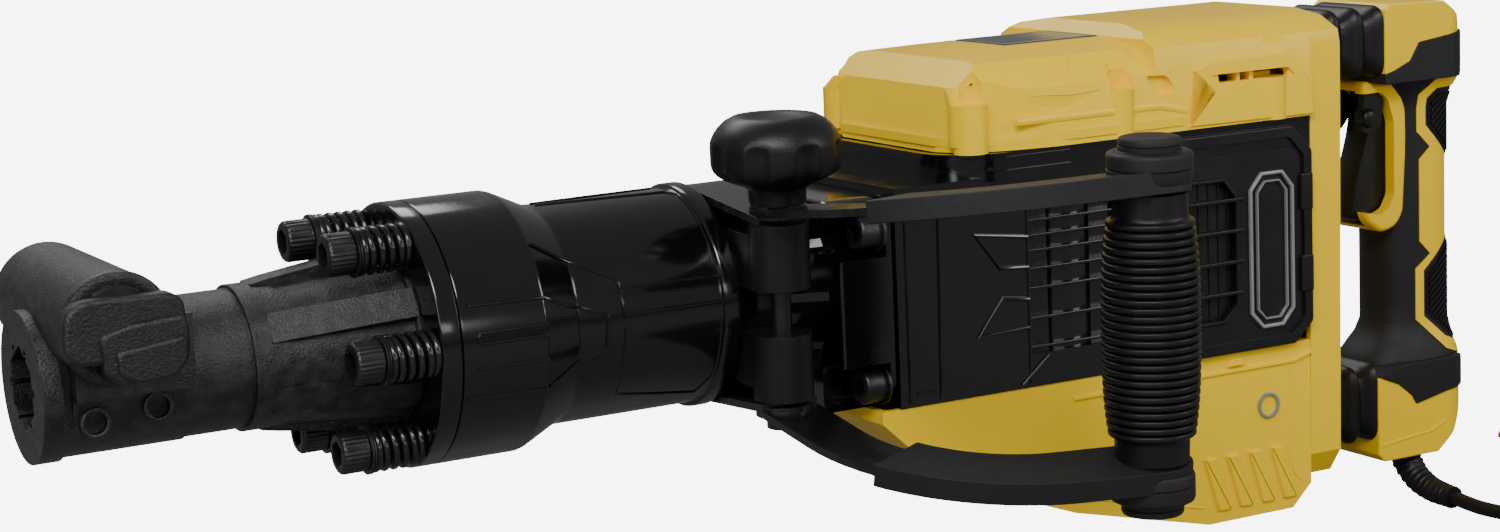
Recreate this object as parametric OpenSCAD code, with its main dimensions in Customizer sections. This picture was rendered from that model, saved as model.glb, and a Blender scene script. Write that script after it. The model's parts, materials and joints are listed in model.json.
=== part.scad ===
/* [Tool holder] */
// Width across the flats of the hexagonal tool socket
socket_af = 30.4; // [28:0.1:31]
// Depth of the hexagonal tool socket
socket_depth = 76; // [60:1:80]
// Radius of the nose around the socket
nose_r = 31; // [30:0.5:32]
// Radius of the retainer shaft that locks the chisel
retainer_r = 17; // [16:0.5:17.5]

/* [Barrel] */
// Radius of the barrel behind the flange
barrel_r = 48.8; // [47:0.1:50]
// Radius of the front flange
flange_r = 57.5; // [57:0.5:60]
// Radius on which the flange bolts stand
bolt_circle_r = 48.5; // [48:0.5:49]
// Radius of the neck that the side handle clamps
neck_r = 45; // [44:0.5:45]

/* [Crank mechanism] */
// Bore radius of the cylinder
cylinder_r = 30; // [29:0.5:30]
// Crank throw, half the piston stroke
crank_throw = 21; // [18:1:21]
// Distance between the two eyes of the connecting rod
rod_length = 125; // [122:1:125]
// Module of all gear teeth
gear_module = 2; // [2:2]

/* [Side handle] */
// Turn of the side handle about the barrel from level, in degrees
handle_swing = 1.1; // [0:0.1:3]
// Largest radius of the side grip
side_grip_r = 20.8; // [19:0.2:21]
// Radius of the clamp knob
knob_r = 28.6; // [26:0.2:28.6]

/* [Rear handle] */
// Half the width of the rear grip
rear_grip_half_w = 19; // [18:0.5:20]

/* [Cord] */
// Diameter of the mains cord
cord_d = 7.5; // [7.5:0.1:7.6]

/* [Hidden] */
$fn = 48;

// Stations along the tool axis, +X towards the rear
ring_x0 = 158.4;
ring_x1 = 167.8;
lip_x = 163;
flange_x1 = 207;
chamfer_x1 = 225;
rim_x0 = 295;
neck_x0 = 303;
block_x0 = 347;
block_x1 = 375.2;
bolt_seat_x = block_x1 - 4;
case_x0 = 375.5;
case_x1 = 500;
panel_x1 = 612;
rear_x1 = 631;
head_x0 = 122;
head_x1 = 134;

// Retainer across the nose
retainer_x = 26.5;
retainer_z = 28;
boss_r = 22.5;
boss_half = 50;

// Crank train
crank_x = 462;
idler_x = 523;
motor_x = 565;
pinion_teeth = 12;
idler_teeth = 30;
idler_pinion_teeth = 15;
crank_teeth = 46;
wrist_x = crank_x - crank_throw - rod_length;

// Side handle
clamp_x = 317.5;
clamp_y = -60;
clamp_z = 42;
band_w = 27;
band_t = 3.5;
band_r = neck_r + 0.4;
band_tangent = 5.2;
arm_slope = 7.6;
arm_straight = 44;
arm_bend_r = 80;
arm_bend = 80;
arm_tail = 38;
grip_half = 50;
sleeve_t = 9.6;

// Housing
case_half_w = 63;
cover_z0 = 56.8;
deck_z0 = 36;
deck_z1 = 43;
foot_z = -137;

cast_black = [0.09, 0.09, 0.09];
gloss_black = [0.03, 0.03, 0.035];
satin_black = [0.06, 0.06, 0.065];
black_steel = [0.05, 0.05, 0.055];
yellow = [0.98, 0.82, 0.02];
steel = [0.62, 0.62, 0.64];
dark_steel = [0.2, 0.2, 0.21];
charcoal = [0.13, 0.13, 0.14];

function bolt_yz(i, r) = [-r * sin(60 * i - 30), r * cos(60 * i - 30)];

module x_cyl(x0, x1, r) { translate([x0, 0, 0]) rotate([0, 90, 0]) cylinder(h = x1 - x0, r = r); }
module x_cone(x0, x1, r0, r1) {
    translate([x0, 0, 0]) rotate([0, 90, 0]) cylinder(h = x1 - x0, r1 = r0, r2 = r1);
}
module y_cyl(y0, y1, r) { translate([0, y0, 0]) rotate([-90, 0, 0]) cylinder(h = y1 - y0, r = r); }
module z_cyl(z0, z1, r) { translate([0, 0, z0]) cylinder(h = z1 - z0, r = r); }
// A profile drawn in Y and Z, run along X
module x_prism(x0, x1) { translate([x0, 0, 0]) rotate([90, 0, 90]) linear_extrude(x1 - x0) children(); }
// A profile drawn in X and Z, run along Y
module y_prism(y0, y1) { translate([0, y1, 0]) rotate([90, 0, 0]) linear_extrude(y1 - y0) children(); }
module z_prism(z0, z1) { translate([0, 0, z0]) linear_extrude(z1 - z0) children(); }
module at_bolts() {
    for (i = [0:5]) let (p = bolt_yz(i, bolt_circle_r)) translate([0, p[0], p[1]]) children();
}
// The four long bolts between the barrel and the crank case
module at_corners() {
    for (y = [-54, 54], z = [27, -43]) translate([0, y, z]) mirror([0, y < 0 ? 1 : 0, 0]) children();
}
module both_sides() { children(); mirror([0, 1, 0]) children(); }
module z_tube(z0, z1, r_out, r_in) { difference() { z_cyl(z0, z1, r_out); z_cyl(z0 - 1, z1 + 1, r_in); } }
module x_tube(x0, x1, r_out, r_in) { difference() { x_cyl(x0, x1, r_out); x_cyl(x0 - 1, x1 + 1, r_in); } }

// ---- Nose -------------------------------------------------------------
module socket_hex() {
    x_prism(-1, socket_depth) rotate(30) circle(r = socket_af / sqrt(3), $fn = 6);
    // Relief bores along the six corners
    for (i = [0:5]) rotate([60 * i, 0, 0])
        translate([0, socket_af / sqrt(3) - 0.6, 0]) x_cyl(-1, socket_depth, 2);
}

module front_cover() {
    rib_half = 6.5;
    color(cast_black) difference() {
        union() {
            x_cyl(0, 10, nose_r + 0.5);
            x_cyl(10, 61, nose_r - 0.8);
            translate([12, -36, -2]) cube([49, 72, 30]);
            translate([retainer_x, 0, retainer_z]) y_cyl(-boss_half, boss_half, boss_r);
            x_cyl(61, 88, nose_r - 1.6);
            x_cyl(88, 104, nose_r);
            x_cone(104, 158, nose_r - 0.6, nose_r + 4);
            for (i = [0:5]) rotate([60 * i, 0, 0])
                y_prism(-rib_half, rib_half)
                    polygon([[96, 24], [96, 31], [104, 32.5], [150, 39], [157.5, 39], [157.5, 24]]);
            x_cyl(157, ring_x0 + 0.2, 37.8);
            x_cyl(ring_x0 + 0.2, lip_x, 39.2);
            x_cyl(lip_x, ring_x1, 41.2);
        }
        socket_hex();
        x_cyl(socket_depth - 1, 129, 14.6);
        x_cyl(128, ring_x1 + 1, 24);
        translate([retainer_x, 0, retainer_z]) y_cyl(-boss_half - 1, boss_half - 6, retainer_r + 0.08);
        // Grooves behind the collar on both flat sides
        both_sides() translate([8, 28, -16]) cube([4, 20, 32]);
    }
}

module flange_ring() {
    color(gloss_black) difference() {
        x_cyl(ring_x0, ring_x1, flange_r);
        x_cyl(ring_x0 - 1, ring_x1 + 1, 39.5);
        x_cyl(lip_x - 0.2, ring_x1 + 1, 41.5);
        at_bolts() x_cyl(ring_x0 - 1, ring_x1 + 1, 6.6);
    }
}

module retainer_shaft() {
    color(steel) translate([retainer_x, 0, retainer_z]) difference() {
        union() {
            y_cyl(-boss_half - 1, boss_half - 6.5, retainer_r);
            y_cyl(-boss_half - 9, -boss_half, 8);
        }
        // Release flat, turned away from the socket while locked
        translate([-25, -18, 12]) cube([50, 36, 20]);
    }
}

module retainer_lever() {
    lever_y1 = -boss_half - 1.1;
    color(cast_black) translate([retainer_x, 0, retainer_z]) difference() {
        union() {
            y_prism(lever_y1 - 5, lever_y1)
                polygon([[-22, 10], [-25, 4], [-25, -14], [-21, -20], [-8, -23], [14, -22], [25, -16], [26, 6],
                    [20, 13], [-16, 13]]);
            y_prism(lever_y1 - 11, lever_y1 - 5)
                polygon([[-20, 6], [-22, 0], [-20, -9], [-4, -14], [22, -12], [24, 4], [18, 10], [-14, 9]]);
        }
        y_cyl(-boss_half - 9.2, lever_y1 + 1, 8.05);
    }
}

module front_bolts() {
    color(dark_steel) at_bolts() difference() {
        union() {
            x_cyl(head_x0, head_x1, 9);
            x_cyl(head_x1 - 0.5, 202, 5.95);
        }
        x_prism(head_x0 - 1, head_x0 + 6) circle(r = 10 / sqrt(3), $fn = 6);
    }
}

module bolt_washers() { color(dark_steel) at_bolts() x_tube(head_x1, head_x1 + 2, 10.6, 6.2); }

module front_springs() {
    wire_r = 1.6;
    coils = 5;
    pitch = (ring_x0 - head_x1 - 2 - 2 * wire_r) / (coils - 1);
    color(dark_steel) at_bolts() for (k = [0:coils - 1])
        translate([head_x1 + 2 + wire_r + k * pitch, 0, 0]) rotate([0, 90, 0])
            rotate_extrude() translate([8.7, 0]) circle(r = wire_r, $fn = 24);
}

// ---- Barrel and striking parts -----------------------------------------
module barrel_housing() {
    color(gloss_black) difference() {
        union() {
            x_cyl(ring_x1, flange_x1, flange_r);
            x_cone(flange_x1, chamfer_x1, flange_r, barrel_r);
            x_cyl(chamfer_x1, rim_x0, barrel_r);
            x_cyl(rim_x0, neck_x0, barrel_r + 2);
            x_cyl(neck_x0, block_x0 + 1, neck_r);
            x_prism(block_x0, block_x1)
                polygon([[-62, -44], [-52, -54], [52, -54], [62, -44], [62, 34], [50, 42],
                    [-50, 42], [-62, 34]]);
        }
        x_cyl(ring_x1 - 1, block_x1 + 1, cylinder_r + 8);
        at_bolts() x_cyl(ring_x1 - 1, 205, 6);
        at_corners() {
            x_cyl(block_x0 - 1, bolt_seat_x, 11);
            translate([block_x0 - 1, -11, -11]) cube([bolt_seat_x - block_x0 + 1, 30, 22]);
            x_cyl(block_x0, block_x1 + 1, 5.2);
        }
    }
}

module rear_flange_bolts() {
    color(dark_steel) at_corners() difference() {
        union() {
            x_cyl(bolt_seat_x - 12, bolt_seat_x, 8);
            x_cyl(bolt_seat_x - 0.5, case_x0 + 11, 4.95);
        }
        x_prism(bolt_seat_x - 13, bolt_seat_x - 6) circle(r = 8 / sqrt(3), $fn = 6);
    }
}

module cylinder_sleeve() {
    color(steel) difference() {
        union() {
            x_cyl(ring_x1 + 0.2, 366, cylinder_r + 7.9);
        }
        x_cyl(190, 367, cylinder_r);
        x_cyl(ring_x1 - 1, 191, 12.6);
    }
}

module impact_bolt() {
    color(steel) union() {
        x_cyl(82, 142.5, 14.5);
        x_cyl(142, 160, 22);
        x_cyl(159.5, 200, 12.5);
    }
}

module nose_seal() { color(charcoal) x_tube(ring_x1 - 4.5, ring_x1 - 0.2, 23.9, 13.2); }

module striker() {
    color(steel) union() {
        x_cyl(206, 216.5, 16);
        x_cyl(216, 262, cylinder_r - 0.06);
    }
}

module piston() {
    color(steel) translate([wrist_x, 0, 0]) difference() {
        x_cyl(-22, 18, cylinder_r - 0.08);
        x_cyl(-13, 19, 22);
        z_cyl(-40, 40, 8);
        for (x = [-20, -15]) x_tube(x, x + 2.5, cylinder_r + 1, cylinder_r - 2.6);
    }
}

module piston_rings() {
    color(dark_steel) translate([wrist_x, 0, 0]) for (x = [-20, -15])
        x_tube(x + 0.05, x + 2.45, cylinder_r - 0.04, cylinder_r - 2.5);
}

module wrist_pin() { color(steel) translate([wrist_x, 0, 0]) z_cyl(-27, 27, 7.95); }

module connecting_rod() {
    color(steel) difference() {
        union() {
            translate([wrist_x, 0, 0]) z_cyl(-8, 8, 12.5);
            translate([crank_x - crank_throw, 0, 0]) z_cyl(-8, 8, 15);
            translate([wrist_x, -6, -5]) cube([rod_length, 12, 10]);
        }
        translate([wrist_x, 0, 0]) z_cyl(-9, 9, 8);
        translate([crank_x - crank_throw, 0, 0]) z_cyl(-9, 9, 8.3);
    }
}

// ---- Crank case and gears ----------------------------------------------
module rounded_plan(x0, x1, half_w, r_front) {
    difference() {
        translate([x0, -half_w]) square([x1 - x0, 2 * half_w]);
        for (s = [-1, 1]) translate([x0, s * half_w]) difference() {
            translate([-r_front, -r_front]) square(2 * r_front);
            translate([r_front, -s * r_front]) circle(r = r_front, $fn = 64);
            translate([r_front, -2 * r_front]) square([r_front, 4 * r_front]);
            translate([-r_front, s > 0 ? -3 * r_front : r_front]) square([4 * r_front, 2 * r_front]);
        }
    }
}

module crank_case() {
    front_wall = 14;
    color(gloss_black) difference() {
        union() {
            difference() {
                union() {
                    translate([case_x0, -case_half_w, -54]) cube([case_x1 - case_x0, 2 * case_half_w, 100]);
                    translate([case_x1 - 2, -50, -54]) cube([7, 100, 95]);
                    z_prism(deck_z0, cover_z0 - 0.3) rounded_plan(406, panel_x1 - 1, 64.5, 30);
                    // Raised frame and cooling fins on both sides
                    both_sides() {
                        translate([396, case_half_w - 1, -44]) cube([4, 3, 78]);
                        for (k = [0:5]) translate([430, case_half_w - 1, -38 + 12 * k]) cube([70, 3, 3]);
                    }
                }
                // Crank chamber
                translate([case_x0 + front_wall, -56, -46])
                    cube([case_x1 - case_x0 - front_wall - 6, 112, deck_z0 + 46]);
                translate([case_x1 - 7, -46, -46]) cube([8, 92, deck_z0 + 46]);
            }
            translate([crank_x, 0, 0]) z_cyl(25.5, deck_z1, 26);
            translate([idler_x, 0, 0]) z_cyl(27, deck_z1, 17);
            translate([motor_x, 0, 0]) z_cyl(32, deck_z1, 20);
        }
        // Cylinder opening, gear tray, bearing seats and bolt holes
        x_cyl(case_x0 - 1, case_x0 + front_wall + 1, cylinder_r + 8.2);
        z_prism(deck_z1, cover_z0 + 1) rounded_plan(410, panel_x1 - 5, 60.5, 27);
        translate([crank_x, 0, 0]) z_cyl(25, deck_z1 + 1, 21);
        translate([idler_x, 0, 0]) z_cyl(26, deck_z1 + 1, 13);
        translate([motor_x, 0, 0]) z_cyl(31, deck_z1 + 1, 16);
        at_corners() x_cyl(case_x0 - 1, case_x0 + 12, 5);
    }
}

// Straight-flanked teeth on a solid disc; one module is addendum, 1.25 modules dedendum
module gear_2d(teeth, turn = 0) {
    pitch_r = gear_module * teeth / 2;
    tooth_step = 360 / teeth;
    polygon([for (i = [0:teeth - 1], c = [[-0.34, -1.25], [-0.11, 1], [0.11, 1], [0.34, -1.25]])
        let (r = pitch_r + c[1] * gear_module * 0.9, a = turn + (i + c[0]) * tooth_step)
            [r * cos(a), r * sin(a)]]);
}

module crankshaft() {
    color(steel) translate([crank_x, 0, 0]) union() {
        z_cyl(12, 24, 30);
        z_cyl(23.5, 60, 10);
        translate([-crank_throw, 0, 0]) z_cyl(8.6, 12.5, 8);
        z_prism(46, 56) gear_2d(crank_teeth);
    }
}

module crank_bearings() {
    color(steel) translate([crank_x, 0, 0]) for (z = [26, 35]) z_tube(z, z + 8, 20.9, 10);
}

module idler_gear() {
    color(steel) translate([idler_x, 0, 0]) union() {
        z_cyl(26, 70, 6);
        z_prism(46, 58) gear_2d(idler_pinion_teeth);
        z_prism(60, 68) gear_2d(idler_teeth);
    }
}

module idler_bearings() {
    color(steel) translate([idler_x, 0, 0]) for (z = [27, 35.5]) z_tube(z, z + 7.5, 12.9, 6);
}

module armature() {
    color([0.45, 0.3, 0.2]) translate([motor_x, 0, 0]) union() {
        z_cyl(-124, 70, 7);
        z_cyl(-78, -14, 24.5);
        z_cyl(-108, -88, 17);
        z_prism(60, 70) gear_2d(pinion_teeth, 180 / pinion_teeth);
    }
}

module motor_fan() {
    color(satin_black) translate([motor_x, 0, 0]) difference() {
        union() {
            z_cyl(2, 5, 40);
            z_cyl(2, 18, 11);
            for (i = [0:10]) rotate(i * 360 / 11) translate([12, -1, 4.5]) cube([27, 2, 13]);
        }
        z_cyl(1, 19, 7.05);
    }
}

module motor_bearings() {
    color(steel) translate([motor_x, 0, 0]) {
        z_tube(33, deck_z1, 15.9, 7);
        z_tube(-124, -114, 14, 7);
    }
}

module stator() {
    color(dark_steel) translate([motor_x, 0, 0]) difference() {
        union() {
            z_cyl(-76, -16, 43);
            z_cyl(-84, -8, 35);
        }
        z_cyl(-90, 0, 26);
    }
}

module brush_holders() {
    color([0.7, 0.55, 0.25]) translate([motor_x, 0, 0]) both_sides()
        translate([-6, 17.3, -103]) cube([12, 24, 10]);
}

// ---- Housing ------------------------------------------------------------
// Side view of the yellow tub below the crank case and motor
function tub_outline(g) = [
    [366 + g, -54.1], [366 + g, -60 + g / 2], [400 + g, -92 + g], [470, -118 + g], [548, foot_z + g],
    [600, foot_z + g], [panel_x1 - 0.3 - g, -126 + g], [panel_x1 - 0.3 - g, -54.1]
];

module motor_housing() {
    wall = 3.5;
    color(yellow) difference() {
        union() {
            difference() {
                y_prism(-62.5, 62.5) polygon(tub_outline(0));
                y_prism(-59, 59) polygon(concat(tub_outline(wall), [[580, -50], [400, -50]]));
            }
            translate([motor_x, 0, 0]) z_cyl(-134, -60, 46);
        }
        // Stator seat, brush chamber and lower bearing seat
        translate([motor_x, 0, 0]) {
            z_cyl(-78, -50, 43.05);
            z_cyl(-111, -77, 42);
            z_cyl(-125, -100, 14.05);
        }
    }
}

// Octagonal side view of the black panel
module panel_2d(g = 0) {
    polygon([[500.5 + g, 44 - g], [506 + g, 53 - g], [600 - g, 53 - g], [611.5 - g, 40 - g],
        [611.5 - g, -44 + g], [600 - g, -54 + g], [500.5 + g, -54 + g]]);
}

module side_panel_near() {
    color(satin_black) difference() {
        y_prism(-66, -58.5) panel_2d();
        y_prism(-62.5, -57) panel_2d(3.5);
        y_prism(-67, -57) intersection() {
            panel_2d(3);
            for (k = [0:3]) translate([512, -44 + 18 * k]) square([40, 12]);
        }
        y_prism(-67, -57) translate([552, 41]) square([46, 5]);
        // Clearance round the tray of the crank case
        translate([495, -65, deck_z0 - 0.3]) cube([120, 10, 22]);
    }
}

module side_panel_far() { mirror([0, 1, 0]) side_panel_near(); }

module badge_frames() {
    color([0.6, 0.61, 0.62]) both_sides() y_prism(-67.5, -66.05) difference() {
        badge_2d(0);
        badge_2d(3);
    }
}

module badge_2d(g) {
    polygon([[573 + g, -36 + g / 2], [580 + g / 2, -44 + g], [593 - g / 2, -44 + g], [600 - g, -36 + g / 2],
        [600 - g, 24 - g / 2], [593 - g / 2, 32 - g], [580 + g / 2, 32 - g], [573 + g, 24 - g / 2]]);
}

// Cross-section of the top cover in Y and Z, shrunk by g; the rear part is fuller
function cover_section(g, full) = let (
        side = [[-67 + g, cover_z0 - 1], [-66 + g, 72], [-64.5 + g, 84]],
        front_top = [[-60 + g, 88 - g / 2], [-50 + g / 2, 96 - g], [-21, 100 - g]],
        rear_top = [[-64 + g, 90], [-62.6 + g, 96.5 - g / 2], [-50 + g / 2, 102.7 - g], [-30, 105.5 - g]],
        half = concat(side, full ? rear_top : front_top)
    ) concat(half, [for (i = [len(half) - 1:-1:0]) [-half[i][0], half[i][1]]]);

module cover_body(g) {
    intersection() {
        union() {
            x_prism(406, panel_x1) polygon(cover_section(g, false));
            x_prism(520 + g, panel_x1) polygon(cover_section(g, true));
        }
        y_prism(-70, 70) polygon([[412 + g, cover_z0 - 1], [417 + g, 86 - g / 2], [429 + g / 2, 97 - g],
            [445, 100 - g], [520 + g, 100 - g], [527 + g, 105.5 - g], [panel_x1 + 1 - g, 105.5 - g],
            [panel_x1 + 1 - g, cover_z0 - 1]]);
        z_prism(cover_z0 - (g > 0 ? 1 : 0), 110) both_sides() polygon([[412 + g, 1], [412 + g, -40],
            [417 + g, -51], [425 + g, -58 + g / 2], [440, -63 + g], [453, -65.5 + g], [470, -68],
            [panel_x1 - g, -68], [panel_x1 - g, 1]]);
    }
}

module top_cover() {
    wall = 3.5;
    color(yellow) difference() {
        union() {
            difference() {
                cover_body(0);
                cover_body(wall);
            }
            for (p = screw_places) translate([p[0], p[1], 0]) z_cyl(cover_z0, 79, 8);
        }
        for (p = screw_places) translate([p[0], p[1], 0]) {
            z_cyl(cover_z0 - 1, 80, 2.6);
            z_cyl(68, 95, 5);
        }
        // Recess of the blank plate and the two air slots
        translate([464, -22, 99]) cube([56, 44, 2]);
        both_sides() translate([556, 55, 77]) cube([42, 20, 4]);
    }
}

screw_places = [[421, -57], [421, 57], [500, -61], [500, 61], [590, -61], [590, 61]];

module cover_screws() {
    color(dark_steel) for (p = screw_places) translate([p[0], p[1], 0]) {
        z_cyl(68, 71.9, 4.4);
        z_cyl(59, 68.5, 2.5);
    }
}

module rating_plate() { color(dark_steel) translate([465, -21, 99.05]) cube([54, 42, 1]); }

function rear_profile(g) = let (half = concat(
        [[-54 + g, -124 + g], [-62 + g, -112 + g]],
        [[-64 + g, 60], [-64 + g, 90 - g / 2], [-62.6 + g, 96.5 - g]],
        [[-50 + g / 2, 102.7 - g], [-30, 105.5 - g]])
    ) concat(half, [for (i = [len(half) - 1:-1:0]) [-half[i][0], half[i][1]]]);

module rear_cover() {
    wall = 3.5;
    color(yellow) difference() {
        x_prism(panel_x1 + 0.1, rear_x1) polygon(rear_profile(0));
        x_prism(panel_x1 - 1, rear_x1 - wall) polygon(rear_profile(wall));
        // Spring windows behind the two bellows
        for (z = damper_z) translate([0, 0, z]) x_cyl(rear_x1 - wall - 1, rear_x1 + 1, 9);
    }
}

// ---- Side handle --------------------------------------------------------
module on_handle() { rotate([handle_swing, 0, 0]) children(); }

// A point of an arm's plan, after a turn through a degrees and a run straight on, moved sideways by side
function arm_point(a, run, side) = [
    arm_bend_r * (1 - cos(a)) + run * sin(a) + side * cos(a),
    -arm_straight - arm_bend_r * sin(a) - run * cos(a) + side * sin(a)
];

hub = arm_point(arm_bend, arm_tail, 0);
// The same place seen from above, once the arm slopes
hub_x = clamp_x + hub[0];
hub_y = clamp_y + hub[1] * cos(arm_slope);
rod_r = 4.9;

// Plan of one arm from the bend angle a0 on, with a round end at the hub
module arm_plan(half_w, a0) {
    steps = 16;
    end_steps = 12;
    bend = [for (k = [0:steps]) a0 + (arm_bend - a0) * k / steps];
    polygon(concat(
        a0 == 0 ? [[half_w, 0.5]] : [],
        [for (a = bend) arm_point(a, 0, half_w)],
        [for (k = [0:end_steps]) let (a = 180 * k / end_steps)
            arm_point(arm_bend, arm_tail + half_w * sin(a), half_w * cos(a))],
        [for (k = [steps:-1:0]) arm_point(bend[k], 0, -half_w)],
        a0 == 0 ? [[-half_w, 0.5]] : []
    ));
}

module sloped(z) { translate([clamp_x, clamp_y, z]) rotate([-arm_slope, 0, 0]) children(); }

module strap_arm() {
    sloped(clamp_z) linear_extrude(band_t) arm_plan(band_w / 2, 0);
}

// Profile of the band in Y and Z: round the neck, with a straight run to each clamp pad
function band_side(r) = let (a0 = 90 + band_tangent, steps = 38, run = -clamp_y + 1) concat(
    [[r * cos(a0) - run * sin(a0), r * sin(a0) + run * cos(a0)]],
    [for (k = [0:steps]) let (a = a0 * (1 - 2 * k / steps)) [r * cos(a), r * sin(a)]],
    [[r * cos(a0) - run * sin(a0), -r * sin(a0) - run * cos(a0)]]
);
function reversed(pts) = [for (i = [len(pts) - 1:-1:0]) pts[i]];

module clamp_band() {
    color(black_steel) on_handle() difference() {
        union() {
            x_prism(clamp_x - band_w / 2 - 0.3, clamp_x + band_w / 2 + 0.3)
                polygon(concat(band_side(band_r + band_t), reversed(band_side(band_r))));
            for (s = [0, 1]) mirror([0, 0, s]) {
                strap_arm();
                translate([clamp_x, clamp_y, 0]) z_cyl(clamp_z - 0.5, clamp_z + band_t + 1.2, band_w / 2 - 0.8);
            }
        }
        translate([clamp_x, clamp_y, 0]) z_cyl(-clamp_z - 20, clamp_z + 20, 4.6);
        translate([hub_x, hub_y, 0]) z_cyl(-80, 80, rod_r + 0.05);
    }
}

module clamp_blocks() {
    color(satin_black) on_handle() for (s = [0, 1]) mirror([0, 0, s]) difference() {
        union() {
            translate([clamp_x, clamp_y, 0]) z_cyl(10, clamp_z - 2.6, 13.4);
            translate([clamp_x - 12.5, clamp_y, 10]) cube([25, 30, 24]);
        }
        x_cyl(clamp_x - 20, clamp_x + 20, band_r + 0.1);
        translate([clamp_x, clamp_y, 0]) z_cyl(0, 50, 4.6);
    }
}

module clamp_bolt() {
    color(steel) on_handle() translate([clamp_x, clamp_y, 0]) union() {
        z_cyl(-clamp_z - band_t - 7, 68, 4.5);
        z_cyl(-clamp_z - band_t - 7, -clamp_z - band_t - 1.4, 8);
    }
}

module clamp_knob() {
    color(satin_black) on_handle() translate([clamp_x, clamp_y, 0]) difference() {
        union() {
            z_cyl(47.2, 56, 12.5);
            translate([0, 0, 55]) cylinder(h = 5, r1 = 14, r2 = knob_r - 3);
            z_cyl(60, 80, knob_r);
            translate([0, 0, 80]) cylinder(h = 6, r1 = knob_r, r2 = knob_r - 8);
        }
        z_cyl(46, 70, 4.58);
        for (i = [0:7]) rotate(45 * i) translate([knob_r + 9, 0, 0]) z_cyl(56, 79, 10.5);
    }
}

// Moulded sleeve over an arm, open where the strap runs through it
module arm_sleeve() {
    difference() {
        sloped(clamp_z) translate([0, 0, (band_t - sleeve_t) / 2]) linear_extrude(sleeve_t) arm_plan(17, 26);
        sloped(clamp_z) translate([0, 0, -0.05]) linear_extrude(band_t + 0.1) arm_plan(band_w / 2 + 0.05, 0);
        translate([hub_x, hub_y, 0]) z_cyl(20, 80, rod_r + 0.05);
    }
}

module arm_sleeve_upper() { color(charcoal) on_handle() arm_sleeve(); }
module arm_sleeve_lower() { color(charcoal) on_handle() mirror([0, 0, 1]) arm_sleeve(); }

module on_hub() { on_handle() translate([hub_x, hub_y, 0]) children(); }

module grip_rod() { color(steel) on_hub() z_cyl(-75, 75, rod_r); }

module side_grip() {
    ribs = 27;
    pitch = 2 * (grip_half - 5) / ribs;
    color(charcoal) on_hub() difference() {
        union() {
            z_cyl(-grip_half - 1, grip_half + 1, 15.5);
            for (k = [0:ribs - 1]) let (z = -grip_half + 5 + (k + 0.5) * pitch)
                z_cyl(z - pitch * 0.32, z + pitch * 0.32, side_grip_r - 3 * pow(abs(z) / grip_half, 3));
            z_cyl(-grip_half + 4, grip_half - 4, 17.2);
        }
        z_cyl(-60, 60, rod_r + 0.05);
    }
}

// Domed end caps, cut to sit on the sloping sleeves
module grip_caps() {
    color(charcoal) on_handle() for (s = [0, 1]) mirror([0, 0, s]) difference() {
        translate([hub_x, hub_y, 0]) difference() {
            union() {
                z_cyl(clamp_z + 10, 74, 18);
                z_cyl(73.5, 80, 13.3);
            }
            z_cyl(clamp_z, 75.1, rod_r + 0.05);
        }
        sloped(clamp_z) translate([0, -200, -40]) cube([200, 200, 40 + (band_t + sleeve_t) / 2]);
    }
}

// ---- Rear handle --------------------------------------------------------
grip_cx = 727;
boss_half_w = 28;
core_half_w = 12;
core_x0 = grip_cx - 16;
core_x1 = grip_cx + 16;
grip_z0 = -86;
grip_z1 = 62;
upper_mouth_x = 692;
lower_mouth_x = 686;
damper_z = [84, -103];

// Plan of both end bosses, with round corners at the back
module boss_plan(g) {
    corner_r = 16;
    back_x = 749.5 - g;
    half_w = boss_half_w - g;
    translate([680 + g, -half_w]) square([back_x - corner_r - 680 - g, 2 * half_w]);
    translate([back_x - corner_r - 1, -half_w + corner_r]) square([corner_r + 1, 2 * (half_w - corner_r)]);
    for (s = [-1, 1]) translate([back_x - corner_r, s * (half_w - corner_r)]) circle(r = corner_r);
}

// Side views of the upper and the lower boss
function upper_boss(g) = [[upper_mouth_x + g, grip_z1 + g], [upper_mouth_x + g, 99 - g], [696, 102 - g],
    [731, 101 - g], [743 - g, 93 - g], [749.5 - g, 79], [749.5 - g, 70], [744 - g, grip_z1 + g]];
function lower_boss(g) = [[lower_mouth_x + g, grip_z0 - 4 - g], [lower_mouth_x + g, -131 + g],
    [690 + g, -135 + g], [727, -135 + g], [738 - g, -126 + g], [749.5 - g, -106], [749.5 - g, -96],
    [744 - g, grip_z0 - g], [704, grip_z0 - g]];

module handle_body(g) {
    intersection() {
        y_prism(-boss_half_w, boss_half_w) { polygon(upper_boss(g)); polygon(lower_boss(g)); }
        z_prism(-140, 110) boss_plan(g);
    }
    translate([core_x0 + g, -core_half_w + g / 2, -100])
        cube([core_x1 - core_x0 - 2 * g, 2 * core_half_w - g, 172]);
}

module handle_shell(side) {
    wall = 3;
    color(yellow) difference() {
        handle_body(0);
        handle_body(wall);
        // The other half, with a fine parting line between the two
        translate([670, side > 0 ? -50.05 : -0.05, -150]) cube([90, 50.1, 270]);
        // Mouths for the trigger and the cord guard
        translate([core_x0 - 5, -10.5, -14]) cube([12, 21, 70]);
        translate([CORD_EXIT[0], CORD_EXIT[1], 0]) z_cyl(-140, -128, 10.5);
        // Spring pockets facing the housing
        for (z = damper_z) translate([0, 0, z]) x_cyl(680, 700, 8);
    }
}

module handle_shell_near() { handle_shell(-1); }
module handle_shell_far() { handle_shell(1); }

module grip_oval(r) {
    for (dx = [-3, 3]) translate([grip_cx + dx, 0]) circle(r = r);
    translate([grip_cx - 3, -r]) square([6, 2 * r]);
}

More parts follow.
